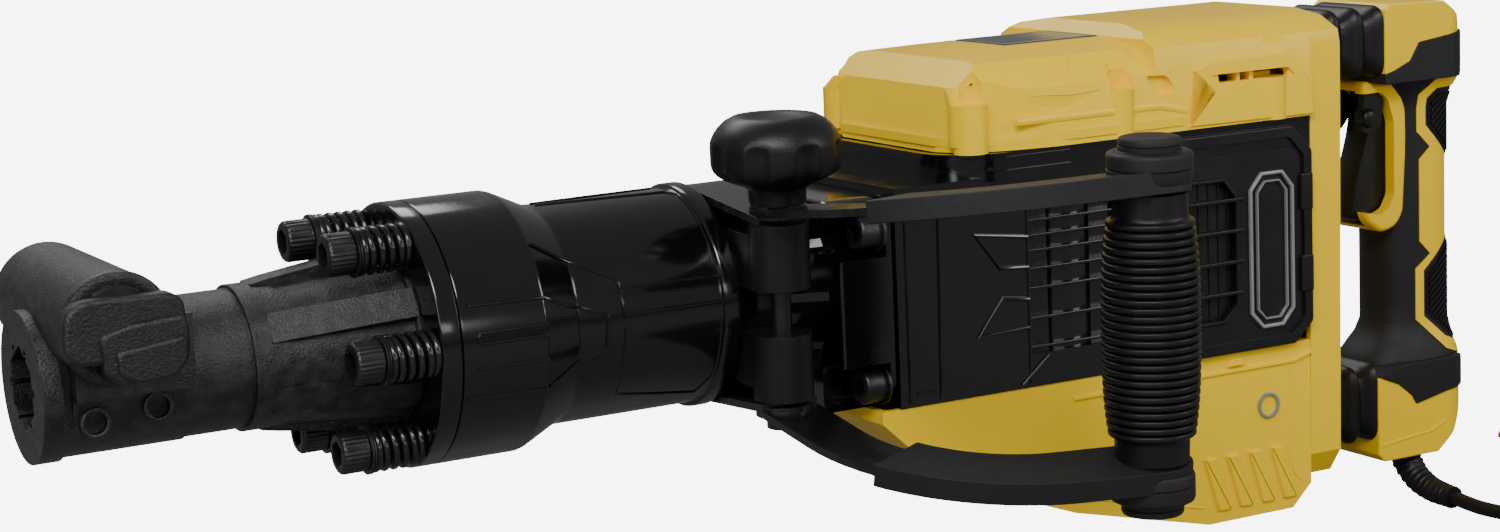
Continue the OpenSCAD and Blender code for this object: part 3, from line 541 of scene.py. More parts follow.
COIL_COLUMNS = 3
COIL_LAYERS = 4
COIL_TURNS = 11.5
COIL_CROSSING = 0.22  # the share of a turn in which the cord steps to its next place
TURN_STEPS = 36


def smooth(t):
    t = min(1.0, max(0.0, t))
    return t * t * (3 - 2 * t)


def coil_place(turn):
    """The radius and the layer of a turn: column after column, and back again on each layer above."""
    turn = min(turn, COIL_COLUMNS * COIL_LAYERS - 1)
    layer, column = divmod(turn, COIL_COLUMNS)
    if layer % 2 == 0:
        column = COIL_COLUMNS - 1 - column
    return COIL_R + (column - (COIL_COLUMNS - 1) / 2) * CORD_D, layer


def coil_points():
    """The centre line of the wound turns."""
    points = []
    for i in range(1, round(COIL_TURNS * TURN_STEPS)):
        t = i / TURN_STEPS
        turn = int(t)
        r0, layer0 = coil_place(turn)
        r1, layer1 = coil_place(turn + 1)
        k = smooth((t - turn - (1 - COIL_CROSSING)) / COIL_CROSSING)
        angle = pi + 2 * pi * t
        r = r0 + (r1 - r0) * k
        z = FLOOR_Z + CORD_D / 2 + (layer0 + (layer1 - layer0) * k) * CORD_D
        points.append((COIL_CENTRE[0] + r * cos(angle), COIL_CENTRE[1] + r * sin(angle), z))
    return points


# ---- Nose and barrel ----

BOLT_PLACES = [(-BOLT_CIRCLE_R * sin(radians(60 * i - 30)),
                BOLT_CIRCLE_R * cos(radians(60 * i - 30))) for i in range(6)]


def socket_screw(centre, profile, knurl, socket):
    """A screw whose head has a knurl (first and last station, depth, count of teeth) and a hexagonal
    socket (radius, two stations)."""
    start, end, depth, teeth = knurl
    radius, low, high = socket

    def toothed(at, r, angle):
        return r - (depth * (1 + cos(teeth * angle)) / 2 if start < at < end else 0)

    head = lathe(bmesh.new(), profile, "x", centre, 4 * teeth, toothed)
    return cut(head, plate(circle(*centre, radius, 6, 30), "x", low, high))


def make_front_bolts():
    bm = bmesh.new()
    x0, x1 = HEAD_X
    profile = [(x0, 7.4), (x0 + 0.5, 8.3), (x0 + 1.2, 8.9), (x0 + 1.6, 9), (x1 - 1.4, 9), (x1 - 0.6, 8.9),
               (x1, 8.4), (x1 + 0.1, 5.95), (200, 5.95)]
    for centre in BOLT_PLACES:
        append(bm, socket_screw(centre, profile, (x0 + 1, x1 - 1, 0.35, 28), (5.75, x0 - 2, x0 + 6)))
    piece("front_bolt_set", bm, "dark_steel", "front_bolts", sharp=35)


def make_washers():
    bm = bmesh.new()
    for centre in BOLT_PLACES:
        for x0 in (HEAD_X[1], HEAD_X[1] + 1.05):
            rim = [(x0, 6.3), (x0, 10.2), (x0 + 0.2, 10.6), (x0 + 0.7, 10.6), (x0 + 0.9, 10.2),
                   (x0 + 0.9, 6.3)]
            lathe(bm, rim, "x", centre, 48, closed=True)
    piece("washer_set", bm, "dark_steel", "bolt_washers")


def make_springs():
    """Six compression springs with closed ends, attached to no body."""
    wire_r, coil_r, turns, steps, closed_end = 1.65, 8.7, 6.0, 28, 0.75
    x0, x1 = SPRING_X[0] + wire_r, SPRING_X[1] - wire_r
    bm = bmesh.new()
    for y, z in BOLT_PLACES:
        spine = []
        for k in range(int(turns * steps) + 1):
            turn = k / steps
            t = min(1, max(0, (turn - closed_end) / (turns - 2 * closed_end)))
            out = Vector((0, cos(2 * pi * turn), sin(2 * pi * turn)))
            spine.append((Vector((x0 + (x1 - x0) * t, y, z)) + out * coil_r, out))
        loft(bm, [[p + out * (wire_r * cos(a)) + Vector((wire_r * sin(a), 0, 0))
                   for a in (2 * pi * q / 10 for q in range(10))] for p, out in spine])
    obj = piece("front_spring_set", bm, "spring_steel", "front_springs", blended=True, sharp=70,
                weighted=False)
    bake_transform(obj)


def make_nose():
    """The cast nose with a raised rim round the retainer shaft and round bosses on the collar."""
    bm = soften(cad_copy("front_cover"), 1.3, 26)
    rim = [(-50.6, 18), (-50.9, 19.2), (-51, 20.6), (-50.4, 22.2), (-48.6, 23), (-45, 22.6), (-45, 18)]
    lathe(bm, rim, "y", (26.5, 28), 64, closed=True)
    for centre in ((20, -12), (46, -9)):
        rim = [(-31.6, 4.6), (-31.9, 5.4), (-31.6, 6.2), (-29, 6.4), (-29, 4.4)]
        lathe(bm, rim, "y", centre, 32, closed=True)
    piece("nose_casting", bm, "cast_black", "front_cover")


def make_lever():
    """Cast lever of the retainer: a broad block with a stepped, narrower lower bar."""
    bm = bmesh.new()
    for corners, radius, low, high, edge in (
            ([(2.6, 30), (4.5, 38.5), (12, 42.5), (46, 41.5), (51.5, 38), (52.6, 22), (47, 17), (24, 15.5),
              (7, 16.5), (3, 21)], 3.5, -59.2, -51.2, 2.4),
            ([(16, 28), (30, 31.5), (50, 32.5), (52.3, 29), (52.3, 17), (46, 9), (33, 6.5), (23, 7.5),
              (17.5, 12)], 3, -60.8, -53, 2.2),
            ([(22, 21.5), (34, 22.5), (50, 24.5), (51.2, 21), (50.5, 13.5), (44, 8), (30, 7), (22.5, 11)],
             3, -62.2, -54, 2.0)):
        slab(bm, rounded(corners, radius), "y", low, high, edge, 4, both=False)
    piece("lever_casting", bm, "cast_black", "retainer_lever")


def make_flange_ring():
    r = FLANGE_R
    profile = [(158.4, 40), (158.4, r - 1.4), (158.8, r - 0.5), (159.6, r), (166.9, r), (167.4, r - 0.3),
               (167.7, r - 0.9), (167.7, 42), (163, 42), (163, 40)]
    bm = lathe(bmesh.new(), profile, "x", (0, 0), 128, closed=True)
    piece("front_ring", bm, "gloss_black", "flange_ring")


def make_barrel():
    """The glossy barrel with its raised lines."""
    f, b, n = FLANGE_R, BARREL_R, NECK_R
    profile = [(167.9, CYLINDER_R), (167.9, f - 0.9), (168.3, f - 0.3), (169, f), (205.5, f),
               (207.5, f - 0.5), (224, b + 0.4), (226.5, b), (293.5, b), (294.6, b + 0.3), (295.2, b + 1.4),
               (296.4, b + 2), (301.8, b + 2), (302.8, b + 1.6), (303.2, b + 0.6), (303.4, n + 0.6),
               (304.2, n), (349, n), (349, CYLINDER_R)]
    bm = lathe(bmesh.new(), profile, "x", (0, 0), 160, closed=True)
    lines = bmesh.new()
    for stations in (
            # Long lines on the flange, the zigzag over the chamfer and the hexagon on the barrel
            [(172, 71, f), (207, 72, f), (226, 78, b), (239, 84, b), (238, 101, b), (226, 106, b),
             (208, 112, f), (170, 111, f)],
            [(208, 47, f), (226, 54, b), (246, 67, b), (247, 85, b), (301, 85, b)],
            [(247, 71, b), (295, 72, b)],
            [(174, 98, f), (207, 98, f)],
            # Slot frame on the flange
            [(207, 83, f), (176, 83, f), (175, 85, f), (176, 87.5, f), (207, 87.5, f)],
            # Panels above and below the hexagon
            [(229, 3, b), (290, 8, b), (294, 14, b), (294, 66, b)],
            [(247, 92, b), (247, 132, b), (288, 142, b), (294, 128, b), (294, 92, b)]):
        round_ridge(lines, stations, width=1.5, height=0.75)
    mirrored(lines)
    append(bm, lines)
    piece("barrel_shell", bm, "gloss_black", "barrel_housing", sharp=30)


def make_barrel_block():
    """The bolt block behind the barrel, with a pocket for each bolt and gussets to the neck."""
    outline = [(-62, -44), (-52, -54), (52, -54), (62, -44), (62, 34), (50, 42), (-50, 42), (-62, 34)]
    block = slab(bmesh.new(), rounded(outline, 4), "x", 347, 375.2, 1.6)
    tools = [lathe(bmesh.new(), [(340, 40), (380, 40)], "x", (0, 0), 64)]
    for y, z in CORNER_BOLTS:
        low, high = sorted((y - copysign(11, y), y + copysign(20, y)))
        tools.append(plate(rounded(box(low, high, z - 11, z + 11), 5), "x", 340, 371.2))
    block = cut(block, *tools)
    soften(block, 0.8, 35, 2)
    for angle in (60, 90, 120, 240, 270, 300):
        s, c = sin(radians(angle)), cos(radians(angle))
        rib = [(348, -38 * s, 38 * c), (330, -NECK_R * s * 0.99, NECK_R * c * 0.99),
               (348, -52 * s, 52 * c * 0.9)]
        across = Vector((0, c, s)) * 2
        loft(block, [[Vector(p) + across * k for p in rib] for k in (-1, -0.6, 0.6, 1)])
    piece("barrel_block", block, "gloss_black", "barrel_housing")


def make_corner_bolts():
    bm = bmesh.new()
    profile = [(359.2, 6.4), (359.6, 7.3), (360.4, 7.9), (361, 8), (370.2, 8), (371.1, 7.7), (371.2, 5),
               (386, 5)]
    for centre in CORNER_BOLTS:
        append(bm, socket_screw(centre, profile, (361, 370, 0.3, 26), (4.7, 357, 365)))
        lathe(bm, [(369.6, 8.2), (369.6, 9.6), (371, 9.6), (371, 8.2)], "x", centre, 40, closed=True)
    piece("corner_bolt_set", bm, "dark_steel", "rear_flange_bolts", sharp=35)


# ---- Side handle ----


def make_knob():
    def fluted(at, r, angle):
        share = smooth((at - 54) / 5) * (1 - smooth((at - 73) / 3.5))
        return r - 1.9 * share * max(0.0, cos(8 * angle)) ** 0.8

    profile = [(47.3, 10), (47.3, 12.2), (49, 12.6), (54, 12.8), (55.4, 14.8), (57, 19), (59, 23.6),
               (60.6, 26), (62, 27.4), (63.6, 28.2), (66, 28.6), (70, 28.6), (73, 28.6), (74.6, 28.5),
               (76.4, 28), (79, 26.6), (81.6, 24.6), (84, 21.8), (85.7, 18.6), (86, 15.8), (85.6, 13.4),
               (84.8, 11), (84.2, 7), (84, 2)]
    bm = lathe(bmesh.new(), profile, "z", CLAMP, 128, fluted)
    piece("knob_shell", turned(bm), "satin_black", "clamp_knob", sharp=60)


def make_side_grip():
    ribs, half = 27, 46.0
    pitch = 2 * half / ribs
    end = [(57, 5), (57, 15.6), (48, 15.8), (46.6, 16.2)]
    profile = [(-z, r) for z, r in end]
    for k in range(ribs):
        z = -half + (k + 0.5) * pitch
        r = 20.8 - 3.2 * (abs(z) / 50) ** 3
        for dz, dr in ((-0.48, 1.9), (-0.36, 0.5), (-0.2, 0.05), (0.2, 0.05), (0.36, 0.5), (0.48, 1.9)):
            profile.append((z + dz * pitch, r - dr))
    bm = lathe(bmesh.new(), profile + end[::-1], "z", HUB, 72)
    piece("grip_sleeve", turned(bm), "black_rubber", "side_grip", sharp=50)


def make_caps():
    """Stepped end caps with two fine grooves."""
    bm = bmesh.new()
    profile = [(61.5, 6), (61.5, 17.2), (63, 17.9), (66.4, 18), (66.9, 17.3), (67.4, 18), (72.2, 18),
               (73.4, 17.5), (74, 16.4), (74.2, 14), (74.6, 13.2), (76.2, 13.2), (76.6, 12.7), (77, 13.2),
               (78.6, 13.2), (79.6, 12.6), (80, 11.4), (80, 9), (79.7, 4)]
    for s in (-1, 1):
        lathe(bm, [(s * z, r) for z, r in profile], "z", HUB, 64)
    piece("cap_pair", turned(bm), "charcoal_rubber", "grip_caps")


def make_sleeve_marks():
    """A row of small marks on the lower arm."""
    bm = bmesh.new()
    for k in range(5):
        x, y = 322 + 5.2 * k, -146 - 4.4 * k
        up = -49.2 + ARM_SLOPE * (y - CLAMP[1])
        ring = [(x - 1.4, y - 1.2, up), (x + 1.6, y, up), (x - 0.6, y + 1.6, up)]
        loft(bm, [[(p[0], p[1], p[2] - 0.6) for p in ring], ring])
    piece("sleeve_marks", turned(bm), "charcoal_rubber", body="side_handle")


# ---- Crank case and motor ----


def make_crank_case():
    """The glossy crank case: a pocket with fins on each side over a round bearing wall, and arrow ribs."""
    w = CASE_HALF_W
    tools = []
    for s in (-1, 1):
        tools.append(plate(rounded(box(446.5, 499, -38.5, 29.5), 2), "y", s * 58.2, s * 70))
        for x0, x1 in ((374, 447.5), (428, 501)):
            tools.append(plate(box(x0, x1, -50, 35.8), "y", s * (w + 0.02), s * 68))
    bm = cut(cad_copy("crank_case"), *tools)
    soften(bm, 1.4, 30)
    extra = slab(bmesh.new(), circle(472, -34, 27, 16, 238, 64), "z", -38.4, 29.4, 0)
    for z in (23.5, 16.5, 9.5, 1, -8, -22, -35.5):
        slab(extra, box(446.8, 499, z - 0.8, z + 0.8), "y", -w - 0.4, -57, 0.5)
    for width, height, lines in (
            (2.2, 1.3, [[(446, 16.5), (417, 20.5), (431, 3.5), (446, 2.5)],
                        [(446, -12.5), (432, -10.5), (418, -26.5), (446, -25.5)], [(456, -40), (441, -52)]]),
            (1.6, 0.8, [[(380.5, -52), (380.5, 35)]]),
            (1.6, 0.9, [[(397, -52), (398, 33.5), (446, 31.5)]]),
            (1.6, 0.8, [[(446.3, -52), (446.3, 31)]]),
            (1.2, 0.6, [[(384, -48), (394, -48)]])):
        flat_ridges(extra, -w, lines, width=width, height=height)
    mirrored(extra)
    append(bm, extra)
    piece("crank_case_shell", bm, "gloss_black", "crank_case", sharp=32)


def make_tray_band():
    """Stepped glossy band round the front of the gear tray."""
    bm = bmesh.new()
    for z0, z1, grow in ((44, 48.5, 1.2), (50.5, 54.5, 0.7)):
        outer, inner = ([(470, -half), *circle(436, -34.5, r, 12, 270, -90),
                         *circle(436, 34.5, r, 12, 180, -90), (470, half)]
                        for half, r in ((64.5 + grow, 30 + grow), (62.5, 28)))
        loft(bm, [[(xi, yi, z0 - 0.6), (xo, yo, z0), (xo, yo, z1), (xi, yi, z1 + 0.6)]
                  for (xo, yo), (xi, yi) in zip(outer, inner)])
    piece("tray_bands", bm, "gloss_black", body="housing")


def make_motor_housing():
    """The yellow tub with its ledge, notches, slanted slats and parting lines."""
    bm = soften(cad_copy("motor_housing"), 3.2, 26, 4)
    extra = bmesh.new()
    y = -62.5
    flat_ridges(extra, y, [[(470, -63), (601, -63), (612, -60)]], width=2.4, height=1.2)
    flat_ridges(extra, y, [[(597, -57), (597, -108), (601, -119), (606, -124)],
                           [(412, -90), (472, -111), (545, -128)]], width=1.3, height=0.55)
    for k in range(4):
        x = 545 + 13.5 * k
        outline = [(x, -104), (x + 7.5, -104), (x + 16, -131), (x + 8.5, -131)]
        slab(extra, rounded(outline, 1), "y", y - 1.6, y + 1, 0.9, both=False)
    for x in (505, 560):
        outline = [(x, -61), (x + 10, -61), (x + 8, -57), (x + 2, -57)]
        slab(extra, rounded(outline, 1), "y", y - 1.8, y + 1, 0.6, both=False)
    mirrored(extra)
    append(bm, extra)
    piece("motor_tub", bm, "yellow_plastic", "motor_housing", sharp=32)
    section = [(-63.6, 5), (-63.8, 5.7), (-63.6, 6.4), (-62.2, 6.6), (-62.2, 4.8)]
    ring = lathe(bmesh.new(), section, "y", (585, -83), 48, closed=True)
    piece("tub_ring_mark", ring, "silver_frame", body="housing")


def make_side_panel(name, side):
    """Black octagonal panel: a raised rim, a sunk field, a vent with bars and a slot above it."""
    outer = [(500.5, 44), (506, 53), (600, 53), (611.5, 40), (611.5, -44), (600, -54), (500.5, -54)]
    octagon = [(514, 23), (522, 31), (558, 30.5), (566, 21), (566, -30), (557, -38), (522, -38), (514, -30)]
    bm = slab(bmesh.new(), rounded(outer, 1.5), "y", -66.2, -58.6, 1.1, both=False)
    bm = cut(bm, plate(rounded(inset(outer, 5.5), 1.5), "y", -70, -64.7),
             plate(rounded(octagon, 1), "y", -72, -56),
             plate(rounded([(552, 41.5), (601, 41.5), (598, 46), (556, 46)], 1), "y", -72, -61.5),
             plate(inset(outer, 3.5), "y", -62.2, -50),
             plate(box(495, 615, 35.7, 57.7), "y", -64.5, -50))
    soften(bm, 0.7, 32, 2)
    extra = bmesh.new()
    for z in (20.5, 5.5, -9.5, -24.5):
        slab(extra, rounded(box(508, 569, z - 1.1, z + 1.1), 0.8), "y", -66.4, -61, 0.7)
    flat_ridges(extra, -64.7, [octagon + octagon[:1]], width=2.2, height=1.1)
    for z in (20, -20):
        slab(extra, rounded(box(604, 611.3, z - 9, z + 9), 1), "y", -66.9, -62, 0.8)
    append(bm, extra)
    screen = plate(box(512, 568, -39, 32), "y", -61.6, -60.6)
    for k in range(9):
        x = 516 + 5.8 * k
        slab(screen, box(x, x + 1, -39, 32), "y", -62.2, -61, 0.2)
    if side > 0:
        to_far_side(bm.verts)
        to_far_side(screen.verts)
    piece("panel_" + name, bm, "satin_black", "side_panel_" + name, sharp=32)
    piece("vent_screen_" + name, screen, "satin_black", body="housing")


def make_badges():
    """Silver-grey octagonal frames with a second line inside, left blank."""
    bm = bmesh.new()
    outer = [(573, -36), (580, -44), (593, -44), (600, -36), (600, 24), (593, 32), (580, 32), (573, 24)]
    section = [(0, -64.5), (0, -65.9), (0.2, -66.3), (0.8, -66.3), (1, -65.9), (1, -64.5)]
    for depth, width in ((0, 1.7), (4.2, 0.9)):
        raised_frame(bm, inset(outer, depth), inset(outer, depth + width), "y", section)
    mirrored(bm)
    piece("badge_rims", bm, "silver_frame", "badge_frames", sharp=50)


# ---- Yellow covers ----


def lean(bm, foot_z, slope):
    """Leans a plate on the near side inwards above its foot."""
    for v in bm.verts:
        v.co.y += max(0.0, v.co.z / MM - foot_z) * slope * MM


def make_top_cover():
    """The yellow cover: scooped niches over the screws, a crescent scoop, slots and a raised rear flap."""
    backing = []  # hidden blocks that close the CAD's hollows behind the niches
    tools = []
    for s in (-1, 1):
        for x, y, r, top, most in ((421, 55, 8.8, 85, 6), (500, 56, 9.2, 88, 4), (522, 55.5, 8.4, 88, 4)):
            rings = [[(cx, cy, z) for cx, cy in circle(x + inwards * 0.4, s * (y - inwards), r, 40)]
                     for z, inwards in ((60, 0), (79, 0), (top, most))]
            backing.append(loft(bmesh.new(), rings))
        for x0, x1, y0, y1, top in ((444, 490, 52, 63, 83), (419.5, 432, 44, 53.4, 87)):
            backing.append(plate(box(x0, x1, s * y0, s * y1), "z", 62, top))
        for x, y in ((421, 59.8), (500, 63.6)):
            r = 6.6
            niche = [(79.1, 5), (79.1, r), (86, r * 0.92), (91, r * 0.72), (96, r * 0.3), (97, 0.4)]
            tools.append(lathe(bmesh.new(), niche, "z", (x, s * y), 40))
        crescent = [(443, 80), (455, 80.6), (472, 79.2), (489, 80.4), (480, 76), (466, 72), (452, 75)]
        tools.append(plate(rounded(crescent, 2.5), "y", s * 64.6, s * 80))
        moon = [(514, 84), (526, 83.4), (530, 78), (529, 74), (519, 75)]
        tools.append(plate(rounded(moon, 2), "y", s * 62.3, s * 80))
    bm = cut(combine("UNION", cad_copy("top_cover"), *backing), *tools)
    soften(bm, 2.2, 24, 3)

    outline = [(536, 58), (552, 73), (541, 84), (552, 88), (596, 88.5), (609, 76), (611.5, 63),
               (611.6, 57.3)]
    flap = slab(bmesh.new(), rounded(outline, 1.5), "y", -68, -60, 1, both=False)
    hole = plate(rounded([(551, 81.2), (597, 81.2), (602, 76.8), (556, 76.8)], 1.2), "y", -80, -50)
    extra = cut(flap, hole)
    lean(extra, 57, 0.075)
    for x in (568, 576):
        slab(extra, box(x, x + 2.4, 76, 82), "y", -63.4, -56, 0.5)
    # Cap over the rear screw, flush with the slope
    loft(extra, [[(x, -50.5, 102.6 + lift), (x, -62.5 - lift, 96.5 + lift), (x, -64 - lift, 90),
                  (x, -65.4 - lift, 82.5), (x, -56, 82.5), (x, -50.5, 98)]
                 for x, lift in ((583.4, -0.6), (584, 0.2), (596, 0.2), (596.6, -0.6))])
    # Lip round the foot of the cover
    foot = [(534, -67.2), (472, -67.2), (453, -65.3), (440, -62.8), (425, -57.8), (417, -50.8), (412, -40),
            (412, 0)]
    ways = [Vector(b) - Vector(a) for a, b in zip(foot, foot[1:])]
    ways = [ways[0]] + [a.normalized() + b.normalized() for a, b in zip(ways, ways[1:])] + [ways[-1]]
    ridge(extra, [(x, y, 61.5) for x, y in foot], [Vector((w.y, -w.x, 0)).normalized() for w in ways],
          width=4, height=0.9)
    # Crease above the foot, and a slanted facet by the raised rear
    flat_ridges(extra, -66.2, [[(440, 69.5), (520, 69.5), (536, 66)]], width=3.4, height=0.8, sink=1)
    loft(extra, [[(478, -50 + lift * 0.2, 96.2 + lift), (482, -50 + lift * 0.2, 96.2 + lift),
                  (473, -60.3, 87.6 + lift), (469, -60.3, 87.6 + lift)] for lift in (-1, 0.7)])
    mirrored(extra)
    append(bm, extra)
    piece("cover_shell", bm, "yellow_plastic", "top_cover", sharp=52)


def make_label():
    bm = slab(bmesh.new(), rounded(box(465, 519, -21, 21), 1.5), "z", 98.6, 100.3, 0.3)
    piece("label_plate", bm, "blank_label", "rating_plate")
    rim = bmesh.new()
    outer = box(466.5, 517.5, -19.5, 19.5)
    raised_frame(rim, outer, inset(outer, 0.7), "z", [(0, 100.2), (0, 100.45), (1, 100.45), (1, 100.2)])
    piece("label_border", rim, "silver_frame", body="housing")


# ---- Rear handle ----
UPPER_BOSS = [(692, 62), (692, 99), (696, 102), (731, 101), (743, 93), (749.5, 79), (749.5, 70), (744, 62)]
LOWER_BOSS = [(686, -90), (686, -131), (690, -135), (727, -135), (738, -126), (749.5, -106), (749.5, -96),
              (744, -86), (704, -86)]
BOSS_HALF_W = 28
HANDLE_BACK = 749.5
BOSS_CORNER_R = 16
LOCK_BUTTON = (691.5, 43)


def boss(outline, grow):
    """An end boss: its side view and its plan with round back corners, cut together."""
    half, back, r = BOSS_HALF_W + grow, HANDLE_BACK + grow, BOSS_CORNER_R
    side = plate(inset(outline, -grow), "y", -half, half)
    plan = [(670, -half), *circle(back - r, -half + r, r, 8, 270, 90),
            *circle(back - r, half - r, r, 8, 0, 90), (670, half)]
    return overlap(side, plate(plan, "z", -150, 120))


def grip_solid(grow=0.0):
    """The rubber grip: an oval that flares into both bosses."""
    rings = []
    for z in (-88, -86, -82, -78, -73, -66, -55, -38, -18, 0, 20, 36, 46, 52, 56, 60, 63, 66):
        low = smooth((-66 - z) / 22)
        high = smooth((z - 46) / 20)
        flare = 8.5 * low + 7.5 * high
        ring = oval(GRIP_C - 3.5 * low + 0.5 * high, 0, 22 + grow + flare * 1.15,
                    GRIP_HALF_W + grow + flare * 0.8, 0.82, 56)
        rings.append([(x, y, z) for x, y in ring])
    return loft(bmesh.new(), rings)


def both_faces(outline, bm=None):
    """A cutter through the near and the far half of the handle, added to bm if it is given."""
    near = slab(bm or bmesh.new(), outline, "y", -45, -4, 0)
    return slab(near, outline, "y", 4, 45, 0)


def make_rear_handle():
    """Two yellow bosses with a rubber grip between them, its yellow outlines and its ribbed side pads."""
    shells = ("handle_shell_near", "handle_shell_far")
    for name, outline in (("handle_top", UPPER_BOSS), ("handle_foot", LOWER_BOSS)):
        shell = soften(boss(outline, 0), 3.4, 24, 4)
        if outline is LOWER_BOSS:
            line = bmesh.new()
            flat_ridges(line, -BOSS_HALF_W, [[(688, -126), (706, -124), (721, -123), (731, -119)]],
                        width=1.4, height=0.5)
            mirrored(line)
            append(shell, line)
        piece(name, shell, "yellow_plastic", *shells, sharp=35)

    # Rubber over the grip and over part of both bosses
    piece("grip_rubber", grip_solid(), "charcoal_rubber", "handle_overmould")
    for name, outline, region in (
            ("rubber_top", UPPER_BOSS,
             [(676, 55), (684, 64.5), (698, 68), (708, 72), (714, 81), (740, 84), (760, 86), (760, 55)]),
            ("rubber_foot", LOWER_BOSS,
             [(676, -84), (687, -90), (699, -95), (708, -102), (711, -107), (732, -103), (760, -100),
              (760, -70), (676, -70)])):
        skin = overlap(boss(outline, 0.9), plate(region, "y", -40, 40))
        piece(name, soften(skin, 1.6, 30), "charcoal_rubber", body="rear_handle", sharp=35)

    # Yellow outlines and the side pads, almost flush with the rubber
    band = [(760, 60.5), (729, 60.5), (720.5, 53), (720.5, 33.5), (729, 25), (722, 19), (722, -24),
            (729, -31), (719.5, -38), (719.5, -65), (736, -81.5), (760, -90), (760, -84), (738, -75.5),
            (724.5, -63.5), (724.5, -39.5), (742, -24), (742, 20), (726, 36.5), (726, 50.5), (731.5, 55.5),
            (760, 55.5)]
    accent = overlap(grip_solid(0.55), both_faces(band))
    piece("grip_accents", soften(accent, 0.3, 35, 2), "yellow_plastic", body="rear_handle", sharp=35)
    for name, outline, foot_z in (
            ("pad_upper", [(728, 49.5), (732, 53.5), (760, 53.5), (760, 8), (742, 22.5), (728, 36.5)], 8),
            ("pad_lower", [(726.5, -41), (742, -27.5), (760, -14), (760, -86), (740, -73), (726.5, -62)],
             -86)):
        pad = overlap(grip_solid(0.45), both_faces(rounded(outline, 1)))
        piece(name, pad, "satin_black", "grip_pads", sharp=35)
        bars = bmesh.new()
        for k in range(30):
            z = foot_z - 20 + 3.4 * k
            bar = [(724, z), (756, z + 22), (756, z + 23.8), (724, z + 1.8)]
            both_faces(bar, bars)
        shaped = overlap(grip_solid(1.25), both_faces(inset(outline, 1.6)))
        ribs = overlap(shaped, bars)
        piece(name + "_ribs", ribs, "satin_black", body="rear_handle", sharp=35)


def make_trigger_parts():
    """The yellow surround with its window, the seats of the lock button, the trigger and the button."""
    outline = rounded([(687, 62), (709, 61), (715.5, 52), (717, 33), (714, -8), (709, -15), (699, -17.5),
                       (689.5, -11), (687, -4)], 4)
    mouth = rounded([(670, 57), (705, 57), (710, 50), (710, -6), (704, -13.6), (670, -13.6)], 1.5)
    window = rounded([(670, 55.5), (698, 56), (703, 52), (707, 40), (707, 2), (703, -5), (697, -7.5),
                      (688, -5.5), (670, -1)], 2)
    surround = cut(slab(bmesh.new(), outline, "y", -17, 17, 3, 4), plate(mouth, "y", -10.4, 10.4),
                   plate(window, "y", -30, 30), lathe(bmesh.new(), [(-20, 5), (-8, 5)], "y", LOCK_BUTTON, 32))
    soften(surround, 0.8, 40, 2)
    piece("trigger_frame", surround, "yellow_plastic", "trigger_surround", sharp=35)

    seat = bmesh.new()
    outline = rounded([(687.6, 35.5), (696, 34.5), (701, 40), (702.4, 52), (698, 56), (689, 56)], 2)
    for low, high in ((-15, -10.5), (10.5, 15)):
        slab(seat, outline, "y", low, high, 0.8)
    seat = cut(seat, lathe(bmesh.new(), [(-20, 4.9), (-8, 4.9)], "y", LOCK_BUTTON, 32))
    piece("button_seat", seat, "satin_black", "switch_body", sharp=35)

    front = [(54.5, 698.5), (48, 697.8), (40, 696.6), (32, 695), (24, 692.6), (16, 689.8), (8, 687.4),
             (0, 685.6), (-6, 684.9), (-9.5, 687), (-11.3, 691)]
    rows = []
    for z, x in front:
        half = [(712, -9.1), (x + 5.5, -9.2), (x + 1.6, -8.2), (x + 0.4, -5.8), (x, -2)]
        rows.append([(px, y, z) for px, y in half] + [(px, -y, z) for px, y in half[::-1]])
    piece("trigger_blade", loft(bmesh.new(), rows), "satin_black", "trigger", sharp=45)

    profile = [(-17.6, 1), (-17.6, 2.6), (-17.3, 3.6), (-16.6, 4.3), (-15.8, 4.5), (-10, 4.5)]
    button = lathe(bmesh.new(), profile, "y", LOCK_BUTTON, 40)
    piece("lock_cap", button, "satin_black", "lock_button", sharp=45)


BELLOWS_FRONT = 631.1
BELLOWS_HALF_W = 27
FOLD_DEPTH = 5.2
FOLDS = 4
FOLD_STEPS = 8


def make_bellows(name, node, x1, z0, z1):
    """Folded rubber between the housing and the handle, a rounded box in section."""
    x0 = BELLOWS_FRONT
    rings = []
    for k in range(FOLDS * FOLD_STEPS + 1):
        t = k / (FOLDS * FOLD_STEPS)
        depth = FOLD_DEPTH * (1 - abs(cos(pi * FOLDS * t)) ** 1.6)
        half = BELLOWS_HALF_W - depth
        outline = rounded(box(-half, half, z0 + depth, z1 - depth), 9, 6)
        rings.append([(x0 + (x1 - x0) * t, p[0], p[1]) for p in outline])
    obj = piece(name, loft(bmesh.new(), rings), "black_rubber", node, blended=True, sharp=70)
    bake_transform(obj)


# ---- Cord fittings ----


def make_guard():
    """Ribbed, tapered strain relief."""
    spine = [Vector(p) for p in GUARD_ROUTE]
    fine = [a.lerp(b, k / 6) for a, b in zip(spine, spine[1:]) for k in range(6)] + [spine[-1]]
    total = len(fine) - 1
    side = Vector((1, 0, 0))
    rings = []
    for i, p in enumerate(fine):
        ahead = (fine[min(i + 1, total)] - fine[max(i - 1, 0)]).normalized()
        up = ahead.cross(side).normalized()
        t = i / total
        rib = 0.55 if 0.12 < t < 0.93 and sin(i * pi / 2.5) > 0 else 0
        r = 8.3 - 3 * t + rib + 0.6 * smooth((t - 0.93) / 0.04)
        rings.append([p + (side * cos(a) + up * sin(a)) * r
                      for a in (2 * pi * k / 32 for k in range(32))])
    return piece("cord_sleeve", loft(bmesh.new(), rings), "cord_rubber", "cord_guard", sharp=60)


